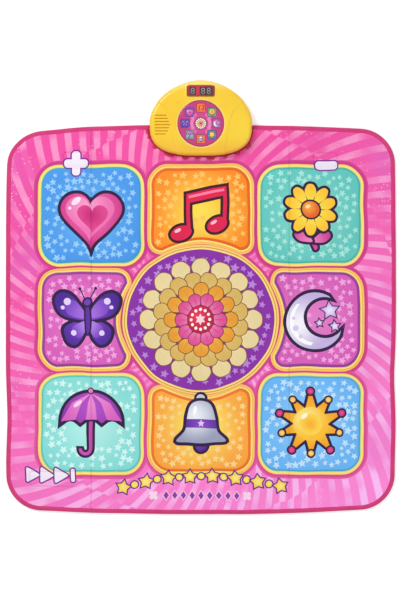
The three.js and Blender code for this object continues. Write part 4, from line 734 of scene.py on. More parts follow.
def cloth_height(points):
    """Height in millimetres of the cloth's upper face at each point of the plan."""
    p = np.asarray(points, float)
    x, y = p[:, 0], p[:, 1]
    # everywhere: slow waves, fine ones and a few creases
    soft, fine, crumple, creases = (waves(p, kind) for kind in (SOFT, FINE, CRUMPLE, CREASES))
    z = COVER_LEVEL + 0.55 + 0.42 * soft + 0.14 * fine + 0.9 * np.exp(-((creases / 0.06) ** 2)) * (0.6 + soft)
    # each key: a dome that is steep at its rim, and a dip beside it where the cloth is sewn down
    for plan in TILES:
        depth = distance_inside(p, plan)
        dome = rise(depth, DOME, 6.5) + 0.5 * np.minimum(np.maximum(depth, 0) / 80, 1)
        z += np.where(depth > 0, dome * (1 + 0.07 * soft + 0.05 * fine), 0)
        z -= DIP * np.exp(-((depth + 5) ** 2) / 14)
    for plan in SMALL_KEYS:
        depth = distance_inside(p, plan)
        z += np.where(depth > 0, rise(depth, SMALL_DOME, 3.4), 0)
    # the folds of the box: a ridge that falls off fast on one side and slowly on the other
    for fold in FOLDS:
        off = x - fold
        z += RIDGE * np.where(off < 0, np.exp(off / 11), np.exp(-off / 0.8)) * (0.75 + 0.5 * fine)
    # the round middle is a little crumpled
    disc = 1 - ((x - DISC[0]) / DISC[2]) ** 2 - ((y - DISC[1]) / DISC[3]) ** 2
    z += 0.5 * crumple * np.clip(disc * 3, 0, 1)
    # beside the controller: ripples that fade away from it, and pressed cloth under it
    under = distance_inside(p, controller_outline(steps=48))
    near = np.exp(-np.maximum(-under, 0) / 17)
    ripple = 2.6 * np.sin(x / 5.2 + 3.4 * crumple) * (0.5 + np.abs(crumple)) + 1.6 * crumple + 1.1
    z += near * ripple * np.clip(-under / 4, 0, 1)
    z = np.where(under > -3, np.minimum(z, 5.85 - 0.1 * np.clip(under + 3, 0, 3)), z)
    # along the rim the cloth comes down into the tape
    rim = distance_inside(p, RIM)
    return np.where(rim < 12, np.minimum(z, COVER_LEVEL + 0.04 * np.maximum(rim, 0)), z)


ASKEW = 3.1


def drawn_aside(points):
    """Where each point of the flat print comes to lie: the cloth is pulled a little askew as it is sewn."""
    p = np.asarray(points, float)
    free = np.clip(distance_inside(p, RIM) / 30, 0, 1)
    pull = [waves(p, (62, 62, seed)) for seed in (14.2, 31.7)]
    return p + ASKEW * free[:, None] * np.array(pull).T


samples = cloth_height([(0, 0), CENTRES[0], (-150, 120)])
print("cloth at the middle, on a key and between keys:", samples.round(2))

# %% [markdown]
# ## Cutting a printed cloth
# To colour the faces of a ready grid would be simple, but every printed edge would come out jagged.
# Blender's constrained triangulation takes outlines and loose points and gives back triangles that know
# which outlines they lie in. Each triangle then takes the colour of the last printed shape over it. The
# colours are kept per corner in a colour attribute, which the cloth's material reads. Loose points on a
# grid give the cloth enough vertices to wave.


# %% Cut a cloth along its print
LONGEST_EDGE = 6.5
ROW_SHARE = 0.87


def corner_colours(points, inner, outer, middle, reach):
    """The colours of points in a shape that shades from its middle outwards."""
    share = np.clip(np.hypot(points[:, 0] - middle[0], points[:, 1] - middle[1]) / reach, 0, 1)[:, None]
    share = share * share * (3 - 2 * share)
    return np.array(inner) * (1 - share) + np.array(outer) * share


def touches(outline, box_low, box_high):
    xs, ys = zip(*outline)
    return max(xs) > box_low[0] and min(xs) < box_high[0] and max(ys) > box_low[1] and min(ys) < box_high[1]


def triangulated(outlines, loose, lines=(), nearness=1e-4):
    """Points, triangles, for each triangle the numbers of the outlines that it lies in, and for each point
    the numbers of the given points that it stands for."""
    points, faces, edges = [], [], []
    for outline in outlines:
        faces.append(range(len(points), len(points) + len(outline)))
        points += outline
    for line in lines:
        edges += [(len(points) + i, len(points) + i + 1) for i in range(len(line) - 1)]
        points += line
    points += loose
    made = delaunay_2d_cdt([Vector(p) for p in points], edges, [list(f) for f in faces], 0, nearness)
    return np.array([tuple(v) for v in made[0]]), made[2], made[5], made[3]


def divided(outline):
    """The outline with its long straight edges divided, so that they can bend with the cloth."""
    points = []
    for (ax, ay), (bx, by) in zip(outline, outline[1:] + outline[:1]):
        parts = max(1, math.ceil(math.dist((ax, ay), (bx, by)) / LONGEST_EDGE))
        points += [(ax + (bx - ax) * i / parts, ay + (by - ay) * i / parts) for i in range(parts)]
    return points


def grid_inside(low, high, spacing, outline, margin):
    """Points of a grid in triangles, further inside the outline than a margin."""
    columns = np.arange(low[0], high[0], spacing)
    rows = np.arange(low[1], high[1], spacing * ROW_SHARE)
    spots = [(x + (spacing / 2 if i % 2 else 0), y) for i, y in enumerate(rows) for x in columns]
    depth = distance_inside(spots, outline)
    return [s for s, d in zip(spots, depth) if d > margin]


print("long edges are divided every", LONGEST_EDGE, "mm")


# %% Make a piece of the triangles
def object_of(name, vertices, faces, material, smooth=True):
    mesh = bpy.data.meshes.new(name)
    mesh.from_pydata([tuple(v) for v in vertices], [], faces)
    mesh.polygons.foreach_set("use_smooth", [smooth] * len(mesh.polygons))
    for one in material if isinstance(material, (list, tuple)) else [material]:
        mesh.materials.append(one)
    made = bpy.data.objects.new(name, mesh)
    bpy.context.collection.objects.link(made)
    return made


def between(lower, upper):
    """Faces between two closed rows of corners."""
    after = [(i + 1) % len(lower) for i in range(len(lower))]
    return [(lower[i], lower[j], upper[j], upper[i]) for i, j in enumerate(after)]


def as_cut(points):
    return points


def printed(name, outline, shapes, height, materials, plain, spacing=7, holes=(), rings=(), lines=(),
            lie=as_cut):
    """A flat-cut piece with its print. lie moves each point in the plan, height gives its level there, and
    plain is the colour of bare ground. rings and lines are cut too, but don't change the colour."""
    low, high = np.min(outline, axis=0), np.max(outline, axis=0)
    layers = [s for s in shapes if touches(s[0], low, high)]
    outlines = [divided(list(drawn)) for drawn in [outline, *holes, *[layer[0] for layer in layers], *rings]]
    loose = grid_inside(low, high, spacing, outline, spacing * 0.4)
    points, triangles, origins, _ = triangulated(outlines, loose, lines)
    first = 1 + len(holes)
    faces, colours, bare = [], [], []
    for triangle, inside in zip(triangles, origins):
        if 0 not in inside or any(0 < i < first for i in inside):
            continue
        corners = points[triangle]
        if np.cross(corners[1] - corners[0], corners[2] - corners[0]) < 0:
            triangle = triangle[::-1]
            corners = corners[::-1]
        top = max((i for i in inside if first <= i < first + len(layers)), default=None)
        faces.append(triangle)
        bare.append(top is None)
        if top is None:
            colours.append(np.tile(plain, (3, 1)))
        else:
            colours.append(corner_colours(corners, *layers[top - first][1:]))
    used = sorted({i for face in faces for i in face})
    number = {old: new for new, old in enumerate(used)}
    kept = lie(points[used])
    vertices = np.column_stack([kept, height(kept)]) * MM
    corners = kept[[[number[i] for i in face] for face in faces]]
    areas = np.cross(corners[:, 1] - corners[:, 0], corners[:, 2] - corners[:, 0]) / 2
    print(name, "faces", len(faces), "turned over", int((areas < 0).sum()))
    piece = object_of(name, vertices, [[number[i] for i in face] for face in faces], materials)
    ink_layer = piece.data.color_attributes.new("print", "FLOAT_COLOR", "CORNER")
    ink_layer.data.foreach_set("color", np.concatenate(colours).astype(np.float32).ravel())
    if len(materials) > 1:
        piece.data.polygons.foreach_set("material_index", [0 if b else 1 for b in bare])
    lay_flat_map(piece)
    return piece


def lay_flat_map(piece):
    """A map of the piece as it lies, so that what is kept of its colours has the print's own layout."""
    layer = piece.data.uv_layers.new(name="OFBake")
    spots = np.empty(len(piece.data.vertices) * 3, np.float32)
    piece.data.vertices.foreach_get("co", spots)
    plan = spots.reshape(-1, 3)[:, :2]
    low = plan.min(0)
    plan = (plan - low) / (plan.max(0) - low).max() * 0.98 + 0.01
    corners = np.empty(len(piece.data.loops), np.int32)
    piece.data.loops.foreach_get("vertex_index", corners)
    layer.data.foreach_set("uv", plan[corners].ravel())


print("ready to cut cloth")

# %% [markdown]
# ## Printed cloth as a material
# The cover is a brushed polyester with a dye print. Its colour comes from the print, and a little sheen
# lightens it where it turns away. Its threads are 0.7 mm apart, far too many to model, so they are a bump.
# The bare field adds its own pattern: broken rays that sweep round the middle, and patches of small pale
# dots. It is soft and covers most of the mat, so nodes draw it where cut outlines would need many more faces.


# %% Patterns that lie on a piece
def surface_place(material):
    """The place on the piece, in metres."""
    return node(material, "TexCoord").outputs["Object"]


def along_axis(material, axis):
    return node(material, "SeparateXYZ", {"Vector": surface_place(material)}).outputs[axis]


def cloud(material, scale, detail=2.0):
    """A soft noise over the piece, from 0 to 1."""
    sockets = {"Vector": surface_place(material), "Scale": scale, "Detail": detail}
    return node(material, "TexNoise", sockets).outputs["Fac"]


def stripes(material, direction, scale, distortion=0.0, **sockets):
    """Soft bands, from 0 to 1."""
    values = {"Vector": surface_place(material), "Scale": scale, "Distortion": distortion, **sockets}
    return node(material, "TexWave", values, bands_direction=direction).outputs["Fac"]


def ramp(material, value, start, end, low=0.0, high=1.0):
    """Goes from low to high while the value goes from start to end."""
    sockets = {"Value": value, "From Min": start, "From Max": end, "To Min": low, "To Max": high}
    return node(material, "MapRange", sockets).outputs["Result"]


def distance_from_middle(material, east, north):
    squares = [maths(material, "MULTIPLY", way, way) for way in (east, north)]
    return maths(material, "SQRT", maths(material, "ADD", *squares))


def tint(material, shader, colour):
    link(material, colour, shader.inputs["Base Color"])


def raise_grain(material, shader, height, strength, depth):
    """Bump, with its depth in metres."""
    bump = node(material, "Bump", {"Height": height, "Strength": strength, "Distance": depth})
    link(material, bump.outputs["Normal"], shader.inputs["Normal"])


print("patterns are drawn at the place on the piece, in metres")


# %% Weave shared by the cloths
def weave(material, shader, pitch=0.0007, depth=0.00012):
    """Threads that cross, each a little uneven. Gives back how light the yarn is at each place."""
    strands = 2 * math.pi / pitch / 20
    thread = maths(material, "MAXIMUM", *[stripes(material, way, strands, 0.6) for way in "XY"])
    slub = cloud(material, 900.0, 3.0)
    raise_grain(material, shader, maths(material, "ADD", thread, slub), 0.5, depth)
    return maths(material, "MULTIPLY_ADD", thread, 0.4, slub)


def print_colour(material):
    return node(material, "Attribute", attribute_name="print").outputs["Color"]


def uneven_ink_and_fold_shade(material, colour, slub):
    """Ink is a touch uneven: a cloud of slightly lighter and darker cloth, and the fine slub of the yarn.
    Painted shade also darkens a narrow line along each fold.
    """
    tone = maths(material, "MULTIPLY_ADD", cloud(material, 9.0, 4.0), 0.16, 0.92)
    grain = maths(material, "MULTIPLY_ADD", slub, 0.26, 0.79)
    value = maths(material, "MULTIPLY", tone, grain)
    across = along_axis(material, "X")
    # painted shade: the cloth is darkened in a narrow line along each fold of the box
    for fold, fold_shade_level in zip(FOLDS, FOLD_SHADE):
        off = maths(material, "ABSOLUTE", maths(material, "SUBTRACT", across, fold * MM))
        value = maths(material, "MULTIPLY", value, ramp(material, off, 0.0006, 0.0022, fold_shade_level))
    return node(material, "HueSaturation", {"Value": value, "Color": colour}).outputs["Color"]


FIELD_PINK = "#F2469B"


def cover_cloth(name, colouring):
    """A brushed cloth. Its second argument is a function that gives the colour of a material before the
    uneven ink and the painted shade along the folds are laid over it.
    """
    material, shader = finish(name, FIELD_PINK, 0.62, Sheen_Weight=0.18, Sheen_Roughness=0.4,
                              Specular_IOR_Level=0.3)
    slub = weave(material, shader)
    tint(material, shader, uneven_ink_and_fold_shade(material, colouring(material), slub))
    return material


print_cloth = cover_cloth("printed_cloth", print_colour)
print("printed cloth ready")


# %% The field's own pattern
RING_WIDTH, RAYS, SWEEP = 0.082, 82.0, 1.15


def broken_rays(material, east, north):
    """Rays that sweep round the middle, and break where one ring of the field meets the next."""
    radius = distance_from_middle(material, east, north)
    angle = maths(material, "ARCTAN2", north, east)
    swept = maths(material, "ADD", angle, maths(material, "MULTIPLY", radius, SWEEP))
    uneven = maths(material, "MULTIPLY_ADD", cloud(material, 7.0), 0.05, radius)
    ring = maths(material, "FLOOR", maths(material, "DIVIDE", uneven, RING_WIDTH))
    chance = maths(material, "SINE", maths(material, "MULTIPLY", ring, 12.99))
    shuffle = maths(material, "FRACT", maths(material, "MULTIPLY", chance, 43.7))
    turned = maths(material, "MULTIPLY", shuffle, 6.28)
    rays = maths(material, "SINE", maths(material, "MULTIPLY_ADD", swept, RAYS, turned))
    presence = ramp(material, cloud(material, 16.0, 1.0), 0.36, 0.6, 0.12, 0.92)
    return maths(material, "MULTIPLY", ramp(material, rays, 0.0, 0.25), presence)


def sunburst(material):
    """The colour of the bare field: rays and violet clouds on pink, and pale dots. All of them are painted
    lighter towards the front, as painted light.
    """
    east, north = along_axis(material, "X"), along_axis(material, "Y")
    # painted light: ground, violet clouds and rays are lighter towards the front of the mat
    slanted = maths(material, "MULTIPLY_ADD", east, -0.5, north)
    front_light_share = ramp(material, slanted, 0.3, -0.6)
    ground = mixed(material, front_light_share, ink("#F14DA4"), ink("#FF88D8"))
    violet = mixed(material, front_light_share, ink("#DE62BC"), ink("#F27ED4"))
    pale = mixed(material, front_light_share, ink("#FB96CA"), ink("#FFC2FA"))
    clouded = mixed(material, ramp(material, cloud(material, 4.2, 1.0), 0.5, 0.62, 0.0, 0.55), ground, violet)
    rayed = mixed(material, broken_rays(material, east, north), clouded, pale)
    dots = node(material, "TexVoronoi", {"Vector": surface_place(material), "Scale": 118.0})
    dotted = ramp(material, dots.outputs["Distance"], 0.2, 0.14)
    where = ramp(material, cloud(material, 5.0), 0.5, 0.56, 0.0, 0.75)
    return mixed(material, maths(material, "MULTIPLY", dotted, where), rayed, ink("#FFC6E6"))


field_cloth = cover_cloth("field_cloth", sunburst)
print("field cloth ready")

# %% [markdown]
# ## The cover
# The field is one sheet with eight openings, and each key's field is a piece of its own. Both have the same
# height along their shared edge, so that no gap shows between them. A thin solidify gives them the thickness
# of real cloth, which is less work than to model both its faces.

# %% Cut the field sheet
BARE = ink(FIELD_PINK)
CLOTH_THICKNESS = 0.45
SHADE_BAND_WIDTH = 12


def thicken(piece, thickness):
    """Gives a sheet its thickness in millimetres, downwards."""
    solid = piece.modifiers.new("thickness", "SOLIDIFY")
    solid.thickness = thickness * MM
    solid.offset = -1


def fold_lines(low, high, pitch, folds=FOLDS):
    """Rows of points along the folds, close enough together for a crisp ridge."""
    steps = np.arange(low, high, pitch)
    return [[(fold + off, y) for y in steps] for fold in folds for off in FOLD_ROWS]


def gather_shade_band(longest):
    """A band of painted shade round the controller, with a deeper tongue in each furrow of the cloth that is
    drawn in under it, where the controller's shadow falls.
    """
    band = []
    for (ax, ay), (bx, by) in zip(controller_outline(0.4, 360), controller_outline(SHADE_BAND_WIDTH, 360)):
        uneven = wander(bx, by, 9, 9, 2.3)
        furrow = max(0.0, -math.sin(bx / 5.2 + 3.4 * wander(bx, by, *CRUMPLE))) ** 0.7
        reach = longest / SHADE_BAND_WIDTH * min(0.32 + furrow * (0.8 + 0.7 * uneven), 1)
        band.append((ax + (bx - ax) * reach, ay + (by - ay) * reach))
    return band


# painted shade: two bands of deeper crimson in the print along the controller's edge
for longest, colour in ((10.5, "#D8407E"), (7, "#B92A4A")):
    paint(gather_shade_band(longest), colour)
cover_edge = inset(RIM, 1.2)
margins = [inset(plan, d) for plan in TILES for d in (-3.4, -6.6)]
puckers = [controller_outline(grow, 220) for grow in (2, 4.5, 7.5, 11, 15, 20, 25)]
field = printed("field_sheet", cover_edge, PRINT, cloth_height, [field_cloth, print_cloth], BARE, 7.5,
                TILES + SMALL_KEYS, margins + puckers, fold_lines(-440, 440, 9.0), drawn_aside)
thicken(field, CLOTH_THICKNESS)
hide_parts("cover_cloth")
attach(field, "mat")
print("field sheet faces", len(field.data.polygons))


# %% Cut the keys
KEY_RINGS, SMALL_KEY_RINGS = (1.6, 3.6, 6, 9, 13, 18), (1.4, 3, 6)
SMALL_NAMES = ("volume_up", "volume_down", "start")
SMALL_BODIES = ("volume_up", "volume_down", "start_key")


def key_cloth(name, plan, depths, materials, spacing):
    """The cloth over one key, a piece with a mesh of its own, whose rim meets the field sheet at one height.
    """
    rings = [inset(plan, depth) for depth in depths]
    low, high = np.min(plan, axis=0), np.max(plan, axis=0)
    folds = fold_lines(low[1] + 2, high[1] - 2, 7.0, [fold for fold in FOLDS if low[0] < fold < high[0]])
    key = printed(name, plan, PRINT, cloth_height, materials, BARE, spacing, (), rings, folds, drawn_aside)
    thicken(key, CLOTH_THICKNESS)
    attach(key, "mat")
    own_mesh(key)
    return key


for number, plan in enumerate(TILES, 1):
    key_cloth(f"key_field_{number}", plan, KEY_RINGS, [print_cloth], 6.5)
for name, plan, body in zip(SMALL_NAMES, SMALL_KEYS, SMALL_BODIES):
    key_cloth(f"{name}_field", plan, SMALL_KEY_RINGS, [field_cloth, print_cloth], 6)
print("eight key fields and three small ones cut")

# %% [markdown]
# ## Binding and stitches
# A folded tape closes the rim of the mat and stops beside the controller. It is swept along the rim from
# one side view of its fold, and it puckers a little, as a tape does when it is sewn round a corner. A
# curve with a bevel would do for an even tape, but not for the puckers, where every row of points moves
# by itself. The lock stitches are short bent capsules, so that they catch the light as thread does.


# %% Sweep the tape
def walk(points, pitch):
    """Places at an even pitch along an open line, with the direction of travel at each."""
    places, carried = [], 0.0
    for (ax, ay), (bx, by) in zip(points, points[1:]):
        length = math.dist((ax, ay), (bx, by))
        while carried < length:
            t = carried / length
            places.append((ax + (bx - ax) * t, ay + (by - ay) * t, (bx - ax) / length, (by - ay) / length))
            carried += pitch
        carried -= length
    return places


tape_end = CONTROLLER["half_width"] + 0.4
behind = [i for i, (x, y) in enumerate(RIM) if y > 400 and abs(x) < tape_end]
rear_edge_y = MAT_REAR - END_BOW * (2 * tape_end / MAT_WIDTH) ** 2
route = RIM[behind[-1] + 1 :] + RIM[: behind[0]]
route = [(-tape_end, rear_edge_y), *route, (tape_end, rear_edge_y)]
TAPE_PITCH, TAPE_THICKNESS = 3.6, 0.4
UNDER_FOLD = [(9.5, 0.45), (7, 0.1), (4, 0.02), (1.7, 0.15), (0.5, 0.8), (0, 2.0), (0, 4.1)]
UPPER_FOLD = [(0.45, 5.3), (1.5, 6.05), (3.2, 6.35), (5.6, 6.35), (7.6, 6.2), (9.2, 6.15), (9.7, 5.8)]
FOLD = UNDER_FOLD + UPPER_FOLD


def tape_place(spot, depth, level, travelled):
    """A point of the tape's fold, with its pucker."""
    x, y, dx, dy = spot
    pucker = wander(travelled, level, 6.5, 4, 1.7)
    slow = wander(travelled, 0, 60, 1, 9.2)
    bulge = (0.16 * pucker + 0.22 * slow) * min(depth / 3, 1) if level > 3 else 0
    waver = 0.28 * pucker * (depth > 6) + 0.35 * slow
    return ((x - dy * (depth + waver)) * MM, (y + dx * (depth + waver)) * MM, (level + bulge) * MM)


spots = walk(route, TAPE_PITCH)
vertices = [tape_place(spot, d, z, i * TAPE_PITCH) for i, spot in enumerate(spots) for d, z in FOLD]
size = len(FOLD)
faces = [(i * size + k, i * size + k + 1, (i + 1) * size + k + 1, (i + 1) * size + k)
         for i in range(len(spots) - 1) for k in range(size - 1)]
tape_finish, tape_shader = finish("binding_tape", "#CE2A6C", 0.7, Sheen_Weight=0.25, Sheen_Roughness=0.45,
                                  Specular_IOR_Level=0.25)
rib = stripes(tape_finish, "DIAGONAL", 320.0, 1.2, Detail=1.0)
worn = mixed(tape_finish, cloud(tape_finish, 34.0, 4.0), ink("#C02462"), ink("#DC3A80"))
ribbed = mixed(tape_finish, maths(tape_finish, "MULTIPLY", rib, 0.25), worn, ink("#E65C97"))
tint(tape_finish, tape_shader, ribbed)
raise_grain(tape_finish, tape_shader, rib, 0.5, 0.0001)
tape = object_of("binding_tape", vertices, faces, tape_finish)
thicken(tape, TAPE_THICKNESS)
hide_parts("edge_binding")
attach(tape, "mat")
print("tape", round(len(spots) * TAPE_PITCH), "mm long")

# %% Sew the stitches
STITCH_PITCH, STITCH_LENGTH, THREAD = 4.2, 3.1, 0.32
STITCH_ARCH = [(-0.5, -0.15), (-0.3, 0.16), (0, 0.26), (0.3, 0.16), (0.5, -0.15)]
stitch_finish, stitch_shader = finish("stitch_thread", "#E2558F", 0.45, Sheen_Weight=0.2)
twist = stripes(stitch_finish, "DIAGONAL", 700.0)
tint(stitch_finish, stitch_shader, mixed(stitch_finish, twist, ink("#C93A7A"), ink("#F080AE")))
vertices, faces = [], []
for i, (x, y, dx, dy) in enumerate(walk(route, STITCH_PITCH)):
    first = len(vertices)
    middle = tape_place((x, y, dx, dy), 7.3, 6.2, i * STITCH_PITCH)
    for along, level in STITCH_ARCH:
        girth = THREAD * (0.6 if abs(along) == 0.5 else 1)
        for side, lift in ((-1, 0), (0, 1), (1, 0), (0, -1)):
            run, out = along * STITCH_LENGTH, side * girth
            vertices.append((middle[0] + (dx * run - dy * out) * MM, middle[1] + (dy * run + dx * out) * MM,
                             middle[2] + (level + lift * girth) * MM))
    rows = [list(range(first + 4 * row, first + 4 * row + 4)) for row in range(len(STITCH_ARCH))]
    faces += [face for lower, upper in zip(rows, rows[1:]) for face in between(lower, upper)]
    faces += [rows[0][::-1], rows[-1]]
stitches = object_of("binding_stitches", vertices, faces, stitch_finish)
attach(stitches, "mat")
print(len(faces) // 18, "stitches")

# %% [markdown]
# ## Foam layers
# Under the cloth lie the spacer foam and, against the floor, a grey foam sheet with a non-slip grain of
# raised dots. Each is cut from the same rim. The dots stand on the underside, where a hand finds them when
# the mat is turned over. They are real domes, because bump looks flat from the side, and they are one
# mesh, because thousands of objects would be slow. Under each key the spacer is a bed of its own, with
# round windows.


# %% Cut the layers
def foam(name, light, dark, cell, roughness=0.9):
    """Open foam with cells of one size, in metres."""
    material, shader = finish(name, light, roughness, Specular_IOR_Level=0.15)
    cells = node(material, "TexVoronoi", {"Vector": surface_place(material), "Scale": 1 / cell})
    hollow = cells.outputs["Distance"]
    share = maths(material, "MULTIPLY", hollow, cloud(material, 20.0, 3.0))
    tint(material, shader, mixed(material, share, ink(light), ink(dark)))
    raise_grain(material, shader, hollow, 0.6, cell * 0.2)
    return material


def level_at(z):
    return lambda points: np.full(len(points), float(z))


def slab(name, outline, holes, low, high, material):
    piece = printed(name, outline, [], level_at(high), [material], WHITE, 14, holes)
    thicken(piece, high - low)
    return piece


def layer(name, replaced, holes, low, high, material):
    piece = slab(name, inset(RIM, 1.3), holes, low, high, material)
    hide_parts(replaced)
    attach(piece, "mat")
    return piece


grey_foam = foam("grey_backing_foam", "#7C7F86", "#5A5D64", 0.0011)
white_foam = foam("white_spacer_foam", "#F4F2EC", "#D9D5C8", 0.0014)
around = controller_outline(0.8, 96)
backing = layer("backing_foam", "backing_sheet", [around], 0.4, 3.0, grey_foam)
SPACER_LOW, SPACER_HIGH, SQUEEZED_SHARE = 3.32, 5.08, 0.32
WINDOW_MARGIN = 54
corners = [(a * (TILE_WIDTH / 2 - WINDOW_MARGIN), b * (TILE_HEIGHT / 2 - WINDOW_MARGIN))
           for a in (-1, 1) for b in (-1, 1)]
squeezed = [inset(plan, 4.6) for plan in TILES] + [inset(plan, 3.1) for plan in SMALL_KEYS]
windows = [[oval(x + dx, y + dy, 16, steps=20) for dx, dy in [(0, 0), *corners]] for x, y in MIDDLES]
windows += [[oval(*np.mean(plan, axis=0), 5, steps=16)] for plan in SMALL_KEYS]
spacer = layer("spacer_layer", "spacer_foam", squeezed, SPACER_LOW, SPACER_HIGH, white_foam)
for body, plan, holes in zip([f"key_{i}" for i in range(1, 9)] + [*SMALL_BODIES], squeezed, windows):
    bed = slab(f"bed_under_{body}", plan, holes, SPACER_LOW, SPACER_HIGH, white_foam)
    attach(bed, "mat")
    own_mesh(bed)
print(len(windows), "beds under the keys")

# %% Grain of raised dots
DOT_PITCH, DOT_SIDES = 12.0, 7
DOT_ROWS = [(2.6, 0.42), (2.1, 0.12), (1.2, 0.01)]
vertices, faces = [], []
for x, y in grid_inside(np.min(RIM, axis=0), np.max(RIM, axis=0), DOT_PITCH, inset(RIM, 16), 0):
    if distance_inside([(x, y)], around)[0] > -4:
        continue
    first = len(vertices)
    for radius, z in DOT_ROWS:
        ring = arc(x, y, radius, 0, 4, DOT_SIDES)[:-1]
        vertices += [(a * MM, b * MM, z * MM) for a, b in ring]
    rows = [[first + row * DOT_SIDES + k for k in range(DOT_SIDES)] for row in range(len(DOT_ROWS))]
    faces += [face for upper, lower in zip(rows, rows[1:]) for face in between(lower, upper)]
    faces += [rows[-1][::-1], rows[0]]
dots_piece = object_of("grip_dots", vertices, faces, foam("grip_rubber", "#54575D", "#45484E", 0.0006, 0.75))
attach(dots_piece, "mat")
print(len(faces) // 16, "grip dots")

# %% [markdown]
# ## The controller's casing
# The casing is a moulded shell of glossy yellow plastic. Its wall rises from the mat, rounds over into the
# roof, and the middle of the roof stands a step higher than the cheeks. A bevelled block with its openings
# cut by booleans would be quicker, but the cuts leave ragged shading in a gloss like this. So it is built
# as closed loops that are bridged one to the next: up the outside, down the inside, and down through every
# opening. The shell then has its real wall all round, and the rims are rounded.

# %% Loops of the casing
CASE_MIDDLE = CONTROLLER["y"]
CASE_FRONT = CASE_MIDDLE - CONTROLLER["front"]
SEAM, SHOULDER, ROOF, CEILING, LEDGE = 6.0, 22.0, 33.4, 31.2, 32.6
WALL = 2.2
FACE_STEP = 1.2
flank = [(50, -16), (55, 0), (60, 38), (73, 97), (99, 122.5), (126, 127), (150, 180)]
FACE = smooth_loop(placed(flank + mirrored(flank), 0, CASE_FRONT), 20)
EDGE = controller_outline(0, 720)
DIAL = (0, CASE_MIDDLE - 3.3)
WINDOW = (0, CASE_MIDDLE + CONTROLLER["rear"] - 24.8)
shell_vertices, shell_faces = [], []


def face_share(points):
    """1 on the raised face, 0 on the cheeks, with a soft step between."""
    t = np.clip(distance_inside(points, FACE) / 2.2 + 0.5, 0, 1)
    return t * t * (3 - 2 * t)


def add_loop(points, levels):
    first = len(shell_vertices)
    levels = np.broadcast_to(levels, len(points))
    shell_vertices.extend((x * MM, y * MM, z * MM) for (x, y), z in zip(points, levels))
    return list(range(first, len(shell_vertices)))


def bridge(lower, upper, skip=()):
    shell_faces.extend(face for i, face in enumerate(between(lower, upper)) if i not in skip)


def patch(outer, holes, levels, spacing, lines=(), up=True):
    """Fills between loops that are already there. outer and holes are pairs of points and their numbers."""
    outlines = [points for points, _ in (outer, *holes)]
    low, high = np.min(outer[0], axis=0), np.max(outer[0], axis=0)
    loose = grid_inside(low, high, spacing, outer[0], spacing * 0.5)
    for points, _ in holes:
        gap = distance_inside(loose, points)
        loose = [p for p, g in zip(loose, gap) if g < -spacing * 0.4]
    if lines:
        loose = [p for p, g in zip(loose, distance_inside(loose, FACE)) if abs(g) > 3]
    known = [n for _, numbers in (outer, *holes) for n in numbers]
    spots, triangles, places, sources = triangulated(outlines, loose, lines, 1e-5)
    numbers = []
    for spot, z, given in zip(spots, levels(spots), sources):
        old = [g for g in given if g < len(known)]
        if old:
            numbers.append(known[old[0]])
        else:
            numbers.append(len(shell_vertices))
            shell_vertices.append((spot[0] * MM, spot[1] * MM, z * MM))
    for triangle, inside in zip(triangles, places):
        if 0 in inside and not any(0 < i < len(outlines) for i in inside):
            a, b, c = (spots[i] for i in triangle)
            turn = (b[0] - a[0]) * (c[1] - a[1]) - (b[1] - a[1]) * (c[0] - a[0])
            triangle = triangle if (turn > 0) == up else triangle[::-1]
            shell_faces.append([numbers[i] for i in triangle])


print("face outline has", len(FACE), "points")

# %% Walls, outside and inside
SWITCH_HALF, SWITCH_FOOT, SWITCH_HEAD = 5.3, 10, 15
OUTER_ROUND, INNER_ROUND = (9, 11.4), (6.8, 9.2)
switch_columns = [i for i, (x, y) in enumerate(EDGE) if y > CASE_MIDDLE and abs(x) < SWITCH_HALF + 0.3]
for i, sign in ((switch_columns[0], 1), (switch_columns[-1], -1)):
    EDGE[i] = (SWITCH_HALF * sign, EDGE[i][1])
SWITCH_GAP = set(switch_columns[:-1])
rounding = [(1 - math.cos(k * math.pi / 20), math.sin(k * math.pi / 20)) for k in range(11)]
rows = [(0.5, SEAM), (0.12, SEAM + 0.15), (0, SEAM + 0.6), (0, SWITCH_FOOT), (0, SWITCH_HEAD)]
rows += [(OUTER_ROUND[0] * a, SHOULDER + OUTER_ROUND[1] * b) for a, b in rounding]
outside = []
for depth, z in rows:
    ring = inset(EDGE, depth)
    share = face_share(ring)
    grown = inset(EDGE, depth - 0.8)
    ring = [(a + (c - a) * s, b + (d - b) * s) for (a, b), (c, d), s in zip(ring, grown, share)]
    outside.append((ring, add_loop(ring, z + FACE_STEP * share * min((z - SEAM) / 16, 1))))
for row, (a, b) in enumerate(zip(outside, outside[1:])):
    bridge(a[1], b[1], SWITCH_GAP if rows[row][1] == SWITCH_FOOT else ())

inner_rows = [(WALL + INNER_ROUND[0] * a, SHOULDER + INNER_ROUND[1] * b) for a, b in rounding[::-1]]
inner_rows += [(WALL, SWITCH_HEAD), (WALL, SWITCH_FOOT), (WALL, SEAM)]
within = []
for depth, z in inner_rows:
    ring = inset(EDGE, depth)
    within.append((ring, add_loop(ring, z)))
for row, (a, b) in enumerate(zip(within, within[1:])):
    bridge(a[1], b[1], SWITCH_GAP if inner_rows[row][1] == SWITCH_HEAD else ())
bridge(within[-1][1], outside[0][1])
low_out, high_out = outside[3][1], outside[4][1]
high_in, low_in = within[-3][1], within[-2][1]
for i in SWITCH_GAP:
    shell_faces.append((low_out[i], low_out[i + 1], low_in[i + 1], low_in[i]))
    shell_faces.append((high_in[i], high_in[i + 1], high_out[i + 1], high_out[i]))
for i, flip in ((min(SWITCH_GAP), 1), (max(SWITCH_GAP) + 1, -1)):
    shell_faces.append((low_out[i], low_in[i], high_in[i], high_out[i])[::flip])
print("wall rows", len(rows), "switch opening columns", len(SWITCH_GAP))


# %% Roof and its openings
def roof_level(points):
    crown = rise(distance_inside(points, outside[-1][0]), 0.6, 22)
    return ROOF + FACE_STEP * face_share(points) + crown


